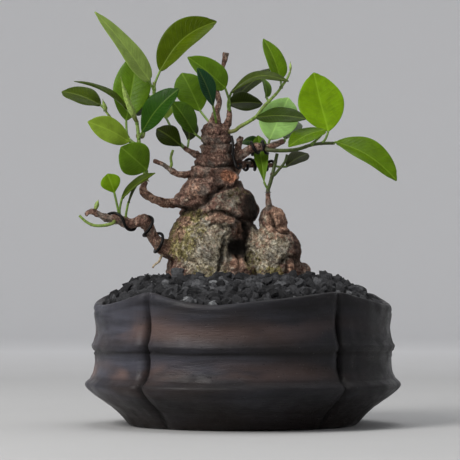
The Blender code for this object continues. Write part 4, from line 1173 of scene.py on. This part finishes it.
def grown_wood():
    """Swellings and limbs run together into one fine skin."""
    skin = bmesh.new()
    for centre, half_axes in LUMPS:
        add_lump(skin, centre, half_axes)
    foot, foot_axes, top, top_axes = ROOT_FOOT
    merge_into(skin, rings_to_bmesh([oval_ring(foot, foot_axes), oval_ring(top, top_axes)]))
    for name, points, radii in LIMBS:
        route = smooth_route(points, 8)
        girth = spread(radii, 8)
        seed = len(name)
        girth = [radius * (1 + 0.10 * noise.noise(point * 0.35 + Vector((seed, 0, 0))))
                 for radius, point in zip(girth, route)]
        merge_into(skin, rings_to_bmesh(tube_rings(route, girth, 18)))
    wood = bpy.data.objects.new("wood", mesh_from(skin, "wood"))
    bpy.context.scene.collection.objects.link(wood)
    remesh = wood.modifiers.new("grow_together", "REMESH")
    remesh.mode = "VOXEL"
    remesh.voxel_size = WOOD_VOXEL * MM
    bake_modifiers(wood)
    return wood


def relax(mesh_data, points, rounds, share):
    """Moves each vertex part of the way to the middle of its neighbours, then back."""
    ends = np.empty(len(mesh_data.edges) * 2, dtype=np.int32)
    mesh_data.edges.foreach_get("vertices", ends)
    first, second = ends.reshape(-1, 2).T
    count = np.bincount(ends, minlength=len(points)).reshape(-1, 1)
    for index in range(2 * rounds):
        total = np.zeros_like(points)
        np.add.at(total, first, points[second])
        np.add.at(total, second, points[first])
        pull = share if index % 2 == 0 else -1.04 * share
        points = points + pull * (total / count - points)
    return points


def side_weight(side, normals):
    """How far each vertex faces the front or the back; 1 everywhere for marks all round."""
    if side == "all":
        return np.ones(len(normals))
    facing = -normals[:, 1] if side == "front" else normals[:, 1]
    return smooth_step(facing, -0.10, 0.30)


def distance_to_route(spots, route):
    """Shortest distance in x and z from each spot to a route of straight pieces."""
    best = np.full(len(spots), 1e9)
    for start, end in zip(route, route[1:]):
        start, end = np.array(start, float), np.array(end, float)
        run = end - start
        share = np.clip(((spots - start) @ run) / (run @ run), 0, 1)
        best = np.minimum(best, np.linalg.norm(spots - start - share[:, None] * run, axis=1))
    return best


def carve_scar(points):
    """Flattens the pruning scar into a dished face within a raised lip."""
    facing = np.array(Vector(SCAR_FACING).normalized())
    axis = np.array(Vector(SCAR_AXIS).normalized())
    offset = points - np.array(SCAR_CENTRE)
    height = offset @ facing
    lengthwise = offset @ axis
    flat = offset - height[:, None] * facing - (1 - 1 / SCAR_STRETCH) * lengthwise[:, None] * axis
    ring = np.linalg.norm(flat, axis=1)
    spin = np.sin(ring * 4.2 + 2.0 * np.arctan2(offset[:, 2], offset[:, 0]))
    target = 3.3 + 0.75 * np.exp(-((ring - 2.9) / 0.6) ** 2) + 0.14 * spin
    share = smooth_step(SCAR_RADIUS + 0.6 - ring, 0.0, 1.0) * (height > 0.5)
    inner = smooth_step(SCAR_RADIUS - 0.5 - ring, 0.0, 0.5) * (height > 0.5)
    return points + (share * (target - height))[:, None] * facing, inner


def oval_distance(spots, x, z, half_x, half_z):
    """Squared distance from a middle, 1 at the oval's edge."""
    return ((spots[:, 0] - x) / half_x) ** 2 + ((spots[:, 1] - z) / half_z) ** 2


def carve_creases(spots, normals):
    """Depth to push each vertex in, with a low lip beside each crease, and how deep it lies, which
    paints the shade in the creases.
    """
    push = np.zeros(len(spots))
    crease_shade = np.zeros(len(spots))
    for side, route, half_width, depth in CREASES:
        away = distance_to_route(spots, route) / half_width
        weight = side_weight(side, normals)
        groove = np.exp(-away ** 2) * weight
        lip = np.exp(-((away - 2.0) / 0.9) ** 2) * weight
        push += -depth * groove + min(0.22 * depth, 0.25) * lip
        crease_shade = np.maximum(crease_shade, groove * min(depth / 1.4, 1.0))
    return push, crease_shade


def bark_relief(points):
    """Lumps, ridges and flakes of the bark, with rings round the neck of the trunk."""
    low = smooth_step(110.0 - points[:, 2], 0.0, 8.0)
    rings = np.sin(points[:, 2] * 2.6 + 2.2 * noise_at(points, 0.12, 1.0))
    ringed = smooth_step(noise_at(points, 0.05, 5.0), -0.4, 0.2)
    thick = smooth_step(-np.abs(points[:, 0] + 13.5), -11.0, -7.0) * (points[:, 2] < 143)
    body = 0.35 + 0.65 * np.maximum(thick, low)
    relief = 0.75 * noise_at(points, 0.10) * low
    relief += 0.55 * noise_at(points, 0.34, 2.0) * body
    relief += 0.34 * noise_at(points, 0.72, 4.0) * body
    relief += 0.50 * (0.35 - np.abs(noise_at(points, 0.42, 7.0))) * body
    relief += 0.15 * rings * (1 - low) * (0.4 + 0.6 * ringed) * body
    return relief


def paint_bark(wood_mesh, spots, normals, crease_shade):
    """Stores where the bark is pale, mossy or rosy, and where it gets painted shade ("dark")."""
    zones = {tone: np.zeros(len(spots)) for tone in ("pale", "moss", "rose")}
    # painted shade in the creases, darkest where they are deepest
    zones["dark"] = 0.85 * crease_shade
    for tone, side, x, z, half_x, half_z, strength in BARK_PATCHES:
        away = oval_distance(spots, x, z, half_x, half_z)
        patch = strength * smooth_step(1.45 - np.sqrt(away), 0.0, 0.8)
        zones[tone] = np.maximum(zones[tone], patch * side_weight(side, normals))
    for tone, values in zones.items():
        paint(wood_mesh, tone, np.clip(values, 0, 1))


def make_trunk():
    wood = grown_wood()
    wood_mesh = wood.data
    points = relax(wood_mesh, points_of(wood_mesh), 3, 0.5)
    set_points(wood_mesh, points)
    normals = normals_of(wood_mesh)
    spots = points[:, (0, 2)]
    warp = np.stack([noise_at(points, 0.35, 3.0), noise_at(points, 0.35, 9.0)], axis=1) * 0.5
    push, crease_shade = carve_creases(spots + warp, normals)
    for side, x, z, half_x, half_z, height in SWELLINGS:
        away = oval_distance(spots + warp, x, z, half_x, half_z)
        push += height * np.exp(-away) * side_weight(side, normals)
    push += bark_relief(points)
    points, scar = carve_scar(points + push[:, None] * normals)
    set_points(wood_mesh, points)
    paint_bark(wood_mesh, spots + PATCH_RAGGEDNESS * warp, normals, crease_shade)
    paint(wood_mesh, "scar", scar)
    bpy.data.objects.remove(wood)
    trunk = add_piece("trunk_wood", wood_mesh, [bark()], "bark", "trunk")
    return BVHTree.FromPolygons([vertex.co for vertex in trunk.data.vertices],
                                [list(face.vertices) for face in trunk.data.polygons])


def make_aerial_root():
    route = smooth_route(((-37.0, -10.2, 81.6), (-38.6, -10.5, 79.8), (-39.6, -10.8, 77.5),
                          (-41.8, -11.2, 75.8), (-42.6, -11.3, 74.4)), 5)
    count = len(route) - 1
    radii = [0.66 - 0.22 * k / count + 0.06 * math.sin(k * 2.1) for k in range(count + 1)]
    skin = rings_to_bmesh(tube_rings(route, radii, 12))
    add_piece("aerial_root_skin", mesh_from(skin, "aerial_root_skin"), [pale_root()],
              "aerial_root", "aerial_root")


# ------------------------------------------------------------------ shoots and buds

SHOOT_SIDES = 14
JOINT_SPACING = 7.5             # between two swollen joints of a shoot
BUD_SIDES = 16
BUD_STEPS = 14
BUD_FOLDS = 5


def stem_lines():
    """Fine points along every limb and shoot: name, point, radius there."""
    lines = []
    for name, points, radii in LIMBS:
        lines += [(name, point, radius)
                  for point, radius in zip(smooth_route(points, 6), spread(radii, 6))]
    for name, points, foot, tip in SHOOTS:
        route = smooth_route(points, 6)
        lines += [(name, point, foot + (tip - foot) * k / len(route))
                  for k, point in enumerate(route)]
    return lines


STEM_LINES = stem_lines()


def nearest_stem(start, own_name=""):
    """The point on the middle of another stem whose surface is closest."""
    return min(((point - start).length - radius, name, point)
               for name, point, radius in STEM_LINES if name != own_name)[2]


def make_shoots():
    pale = green_stem("green_shoot", (0.22, 0.33, 0.055), (0.15, 0.10, 0.05))
    dark = green_stem("dark_shoot", (0.060, 0.088, 0.014), (0.060, 0.042, 0.024))
    for name, points, foot_radius, tip_radius in SHOOTS:
        start = Vector(points[0])
        root = nearest_stem(start, name)
        reach = (root - start).length
        route = smooth_route((root,) + tuple(points) if reach > 0.6 else points, 8)
        count = len(route) - 1
        travelled, radii, wood = 0.0, [], []
        for k in range(count + 1):
            if k:
                travelled += (route[k] - route[k - 1]).length
            share = k / count
            joint = abs((travelled / JOINT_SPACING) % 1.0 - 0.5) * 2
            radius = foot_radius + (tip_radius - foot_radius) * share
            radius *= 1 + 0.16 * max(0.0, 1 - (1 - joint) * 6) + 0.5 * max(0.0, 1 - share * 14)
            radii.append(radius)
            browned = max(0.0, 1 - share * 3.2) + 0.7 * max(0.0, 1 - (1 - joint) * 7)
            wood += [browned] * SHOOT_SIDES
        shoot = mesh_from(rings_to_bmesh(tube_rings(route, radii, SHOOT_SIDES)), name)
        paint(shoot, "wood", np.clip(wood, 0, 1))
        finish = dark if name in DARK_SHOOTS else pale
        add_piece(f"{name}_green", shoot, [finish], "green_stem", name)


def make_buds():
    sheath = green_stem("sheath_green", (0.30, 0.42, 0.09), (0.20, 0.13, 0.06))
    for name, foot, tip, radius in BUDS:
        foot, tip = Vector(foot), Vector(tip)
        root = nearest_stem(foot)
        along = (tip - foot).normalized()
        side = along.cross(Vector((0, 1, 0))).normalized()
        route = [root] if (root - foot).length > 0.5 else []
        radii = [0.5 * radius] if route else []
        wood = [0.8] if route else []
        for share in (k / BUD_STEPS for k in range(3 if route else 0, BUD_STEPS + 1)):
            bow = side * 0.035 * (tip - foot).length * math.sin(math.pi * share)
            route.append(foot.lerp(tip, share) + bow)
            swell = math.sin(math.pi * min(1.0, 0.18 + share * 0.9)) ** 0.8
            radii.append(max(radius * swell, 0.12))
            wood.append(max(0.0, 0.6 - share * 3) + 0.8 * max(0.0, share * 6 - 5))
        rings = tube_rings(route, radii, BUD_SIDES)
        middle = [sum(ring, Vector()) / len(ring) for ring in rings]
        for ring, centre in zip(rings, middle):
            for index, point in enumerate(ring):
                fold = 0.12 * math.cos(BUD_FOLDS * 2 * math.pi * index / BUD_SIDES)
                ring[index] = centre + (point - centre) * (1 + fold)
        bud = mesh_from(rings_to_bmesh(rings), name)
        paint(bud, "wood", np.repeat(np.clip(wood, 0, 1), BUD_SIDES))
        add_piece(f"{name}_green", bud, [sheath], "bud_sheath", name)


# ------------------------------------------------------------------ leaves

# Leaf colours, one set of materials for each tone. Some tones are painted light: "shade" and "dark"
# paint the shade on leaves that lie in shade, "pale" a painted gloss highlight, and the bluish tone
# a painted reflection.
LEAF_TONES = {
    "bright": (0.165, 0.300, 0.004),
    "vivid": (0.088, 0.165, 0.003),
    "lime": (0.200, 0.300, 0.026),
    "pale_lime": (0.220, 0.310, 0.068),
    "fresh": (0.088, 0.170, 0.007),
    "mid": (0.052, 0.110, 0.008),
    "deep": (0.016, 0.058, 0.002),
    "moss": (0.064, 0.100, 0.001),
    "olive": (0.040, 0.064, 0.001),
    # painted shade, for leaves in shade
    "shade": (0.026, 0.048, 0.003),
    # painted shade, for leaves in shade
    "dark": (0.018, 0.028, 0.001),
    # painted bluish reflection
    "blue": (0.014, 0.056, 0.020),
    # painted gloss highlight
    "pale": (0.330, 0.560, 0.160),
    "grey": (0.120, 0.150, 0.090),
    "dull": (0.036, 0.042, 0.012),
}
BLADE_STEPS = 34
HALF_STEPS = (0.05, 0.12, 0.24, 0.38, 0.54, 0.70, 0.84, 0.94, 1.0)
# Places across a blade, from one margin to the other.
LANES = tuple(-step for step in reversed(HALF_STEPS)) + (0.0,) + HALF_STEPS
BLADE_THICKNESS = 0.26


def blade_width(share, widest):
    """Outline of a fig leaf: 0 at the base and tip, 1 where it is broadest."""
    if share <= 0.0 or share >= 1.0:
        return 0.0
    warped = share ** (math.log(0.5) / math.log(widest))
    return math.sin(math.pi * warped) ** 0.68


def blade_axes(base, tip, turn):
    """The blade's length direction and its face direction."""
    along = (tip - base).normalized()
    front = Vector((0, -1, 0))
    front = (front - along * front.dot(along)).normalized()
    top = along.cross(front)
    if top.z < 0:
        top = -top
    lean = math.radians(turn)
    return along, front * math.cos(lean) + top * math.sin(lean)


def edge_curl(lane, share, phase):
    """Lift of the blade towards its margin, in half widths: gentle waves, drooping edges."""
    wave = math.sin(2 * math.pi * (1.6 * share + 0.25 * lane) + phase)
    return (0.045 * wave * lane ** 2 - 0.07 * abs(lane) ** 4) * min(1.0, share * 5)


def leaf_ring(centre, side, normal, half_width, thickness, rib, slope, curls):
    """One closed section: out along the upper side and back along the lower side."""
    upper, lower = [], []
    for lane, curl in zip(LANES, curls):
        out = abs(lane) * half_width
        lift = (math.sqrt(out ** 2 + 0.16) - 0.4) * math.sin(slope)
        lift += curl * half_width
        groove = 0.14 * rib * math.exp(-(out / 0.45) ** 2)
        keel = rib * math.exp(-(out / 0.42) ** 2)
        place = centre + side * lane * half_width * math.cos(slope) + normal * lift
        thin = thickness * (1.0 if abs(lane) < 0.97 else 0.25)
        upper.append(place + normal * (thin / 2 - groove))
        lower.append(place - normal * (thin / 2 + keel))
    return upper + list(reversed(lower))


def cross_directions(forward, face):
    """Sideways and upward directions of a section that looks along forward."""
    side = forward.cross(face).normalized()
    return side, side.cross(forward)


def petiole_rings(stalk, onward, face):
    """Round sections along the petiole, thicker where it leaves the stem."""
    rings = []
    followed = stalk + [onward]
    for index, point in enumerate(stalk):
        forward = (followed[index + 1] - stalk[max(index - 1, 0)]).normalized()
        side, normal = cross_directions(forward, face)
        radius = PETIOLE_RADIUS * (1.0 + 0.7 * max(0.0, 1 - index / 3.0))
        turns = [math.pi * (1 - (k + 0.5) / len(LANES)) for k in range(2 * len(LANES))]
        rings.append([point + radius * (math.cos(t) * side + math.sin(t) * normal)
                      for t in turns])
    return rings


def blade_rings(centre_at, shares, face, half_width, fold, widest, phase):
    """Sections of the blade at the given shares of its length, and the half width of each."""
    rings, widths = [], []
    for share in shares:
        forward = (centre_at(min(share + 0.02, 1.0))
                   - centre_at(max(share - 0.02, 0.0))).normalized()
        side, normal = cross_directions(forward, face)
        width = max(half_width * blade_width(share, widest), 0.28)
        drip = float(smooth_step(np.array(share), 0.90, 1.0))
        width *= 1 - 0.60 * drip * (1 - drip)
        thickness = BLADE_THICKNESS + (2 * PETIOLE_RADIUS - BLADE_THICKNESS) * max(
            0.0, 1 - share * 14)
        rib = 0.42 * (1 - 0.75 * share)
        slope = math.radians(fold) * min(1.0, 0.5 + share * 6)
        curls = [edge_curl(lane, share, phase) for lane in LANES]
        rings.append(leaf_ring(centre_at(share), side, normal, width, thickness, rib, slope,
                               curls))
        widths.append(width)
    return rings, widths


def mark_sides(blade, petiole_count):
    """Gives the petiole and the lower side of the blade their own material slots."""
    half_ring = len(LANES)
    per_ring = 2 * half_ring
    for polygon in blade.polygons:
        around = sorted(vertex % per_ring for vertex in polygon.vertices)
        if polygon.vertices[0] // per_ring < petiole_count:
            polygon.material_index = 2
        elif around[-1] >= half_ring and not (around[0] == 0 and around[-1] == per_ring - 1):
            polygon.material_index = 1


def make_leaf(materials, name, tone, start, base, tip, half_width, turn, fold, arch, widest,
              sway=0.0):
    """A round petiole that widens into a folded, bowed blade, as one skin."""
    start, base, tip = Vector(start), Vector(base), Vector(tip)
    root = nearest_stem(start)
    if (root - start).length > 0.4:
        start = root
    along, face = blade_axes(base, tip, turn)
    length = (tip - base).length
    bend = (start + base) / 2 - along * (base - start).length * 0.12
    sideways = along.cross(face)
    bow = face * arch + sideways * math.copysign(sway, sideways.z)
    phase = sum(ord(letter) for letter in name) * 0.7

    def centre_at(share):
        return base + along * length * share + bow * math.sin(math.pi * share)

    stalk = smooth_route((start, bend, base, centre_at(0.06)), 6)[:-6]
    shares = [0.012 + 0.988 * (step / BLADE_STEPS) ** 1.08 for step in range(BLADE_STEPS + 1)]
    stem = petiole_rings(stalk, centre_at(0.03), face)
    rings, widths = blade_rings(centre_at, shares, face, half_width, fold, widest, phase)
    blade = mesh_from(rings_to_bmesh(stem + rings), f"blade_{name}")
    lanes = [abs(lane) for lane in LANES + LANES[::-1]]
    plain = [0.0] * (len(stem) * len(lanes))
    paint(blade, "reach", plain + [lane * width for width in widths for lane in lanes])
    paint(blade, "along", plain + [share for share in shares for _ in lanes])
    paint(blade, "across", plain + lanes * len(rings))
    paint(blade, "wood", [0.0] * len(blade.vertices))
    mark_sides(blade, len(stem) - 1)
    add_piece(f"blade_{name}", blade, materials[tone], "leaf", f"leaf_{name}")


def leaf_materials():
    petiole = green_stem("petiole_green", (0.17, 0.28, 0.04), (0.14, 0.10, 0.04))
    sets = {}
    for tone, colour in LEAF_TONES.items():
        vein = tuple(1.1 * part + offset for part, offset in zip(colour, (0.075, 0.095, 0.018)))
        upper = leaf_face(f"leaf_{tone}_upper", colour, vein, 0.36, 0.09, 0.6)
        under_colour = tuple(0.85 * part + offset
                             for part, offset in zip(colour, (0.040, 0.058, 0.018)))
        under = leaf_face(f"leaf_{tone}_under", under_colour, vein, 0.55, 0.10, -0.8)
        sets[tone] = [upper, under, petiole]
    return sets


def make_leaves():
    sets = leaf_materials()
    for name, tone, *shape in LEAVES:
        make_leaf(sets, name, tone, *shape)


# ------------------------------------------------------------------ wires


def coil_route(points, radii, turns, clearance):
    """A helix of wire wound round a limb, given the turns reached at each of its points."""
    fine = smooth_route(points, 8)
    frames = carried_frames(fine)
    coil = []
    for middle, radius, turn, (side, up) in zip(fine, spread(radii, 8), spread(turns, 8), frames):
        angle = 2 * math.pi * turn
        reach = radius + clearance
        coil.append(middle + reach * (math.cos(angle) * side + math.sin(angle) * up))
    return coil


WIRE_REACH = WIRE_RADIUS + 0.25  # from the bark to the middle of the wire
# Wires wound round a limb: name, limb, its first wound point, turns reached at each point.
WOUND_WIRES = (
    ("wire_lower_left", "lower_left", 1, (-0.05, 0.88, 1.42, 1.90, 2.08, 2.28, 2.58, 2.85)),
    ("wire_right", "right_main", 2, (0.3, 1.3, 2.3)),
    ("wire_back", "right_back", 1, (0.0, 1.0, 2.0, 3.0)),
)
# The wire end that hugs the neck of the trunk and closes in a loop.
NECK_WIRE = ((-5.4, -4.8, 137.2), (-4.7, -6.8, 133.6), (-4.7, -7.6, 130.0),
             (-4.3, -7.9, 126.5), (-3.7, -8.4, 124.2), (-3.2, -8.9, 122.6),
             (-2.0, -8.4, 121.8), (-1.0, -7.0, 122.4), (-1.5, -5.4, 124.0))


def make_wires():
    finish = black_wire()
    routes = {"wire_neck": smooth_route(NECK_WIRE, 8)}
    for name, limb_name, first, turns in WOUND_WIRES:
        _, points, radii = next(row for row in LIMBS if row[0] == limb_name)
        last = first + len(turns)
        coil = coil_route(points[first:last], radii[first:last], turns, WIRE_REACH)
        routes[name] = smooth_route(coil, 3)
    for name, route in routes.items():
        skin = rings_to_bmesh(tube_rings(route, [WIRE_RADIUS] * len(route), 12))
        add_piece(f"{name}_black", mesh_from(skin, name), [finish], "black_wire", name)


# ------------------------------------------------------------------ stage, light and camera

CAMERA_DISTANCE = 1.05
CAMERA_TILT = 1.74              # degrees above level
VIEW_ANGLE = 11.94              # degrees across the picture
SENSOR_WIDTH = 36.0


def make_camera():
    low, high = CAD_BOX
    pot_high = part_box("pot")[1]
    optics = bpy.data.cameras.new("camera")
    optics.sensor_width = SENSOR_WIDTH
    optics.lens = SENSOR_WIDTH / 2 / math.tan(math.radians(VIEW_ANGLE / 2))
    camera = bpy.data.objects.new("camera", optics)
    bpy.context.scene.collection.objects.link(camera)
    camera.location = ((low.x + high.x) / 2, -CAMERA_DISTANCE, 0.9575 * pot_high.z)
    camera.rotation_euler = (math.radians(90 + CAMERA_TILT), 0, 0)
    bpy.context.scene.camera = camera


def make_stage():
    """A pale floor that curves up into a round wall, far enough out for any view."""
    f = Finish("studio_paper", 0.9, Specular_IOR_Level=0.1)
    paper = f.mix(f.noise(0.01, 3.0), (0.50, 0.50, 0.50), (0.53, 0.53, 0.53))
    finish = f.done(f.mix(f.painted("wall"), paper, (0.86, 0.86, 0.87)))
    profile = [(0.0, 0.0), (0.6, 0.0), (1.4, 0.0), (2.2, 0.0)]
    profile += [(2.2 + 0.8 * math.sin(turn), 0.8 - 0.8 * math.cos(turn))
                for turn in (math.pi / 2 * k / 10 for k in range(1, 11))]
    profile += [(3.0, 1.6), (3.0, 2.6)]
    sides = 96
    skin = bmesh.new()
    middle = skin.verts.new((0, 0, 0))
    loops = [[skin.verts.new((radius * math.cos(2 * math.pi * k / sides),
                              radius * math.sin(2 * math.pi * k / sides), level))
              for k in range(sides)] for radius, level in profile[1:]]
    for k in range(sides):
        skin.faces.new((middle, loops[0][k], loops[0][(k + 1) % sides]))
    for lower, upper in zip(loops, loops[1:]):
        for k in range(sides):
            after = (k + 1) % sides
            skin.faces.new((lower[k], upper[k], upper[after], lower[after]))
    floor = bpy.data.objects.new("floor", mesh_from(skin, "floor"))
    floor.data.materials.append(finish)
    floor.data.shade_smooth()
    outward = np.linalg.norm(points_of(floor.data)[:, :2], axis=1) * MM
    paint(floor.data, "wall", smooth_step(outward, 0.5, 1.4))
    bpy.context.scene.collection.objects.link(floor)


def add_light(name, location, target, size, power, colour):
    lamp = bpy.data.lights.new(name, "AREA")
    lamp.shape = "DISK"
    lamp.size = size
    lamp.energy = power
    lamp.color = colour
    item = bpy.data.objects.new(name, lamp)
    bpy.context.scene.collection.objects.link(item)
    item.location = location
    aim = Vector(target) - Vector(location)
    item.rotation_euler = aim.to_track_quat("-Z", "Y").to_euler()


def make_lights():
    low, high = CAD_BOX
    middle = (low + high) / 2
    add_light("key", (-0.95, -0.90, 1.05), middle, 0.75, 18.5, (1.0, 0.985, 0.96))
    add_light("top", (0.10, 0.15, 1.5), middle, 1.0, 5.0, (1.0, 1.0, 1.0))
    world = bpy.data.worlds.new("studio")
    bpy.context.scene.world = world
    world.use_nodes = True
    sky = world.node_tree.nodes["Background"]
    sky.inputs["Color"].default_value = (0.97, 0.98, 1.0, 1.0)
    sky.inputs["Strength"].default_value = 0.43
    bpy.context.scene.view_settings.view_transform = "Standard"


make_camera()
make_stage()
make_lights()
make_pot()
make_drain_screens()
wood_tree = make_trunk()
make_soil(wood_tree)
make_aerial_root()
make_shoots()
make_buds()
make_leaves()
make_wires()
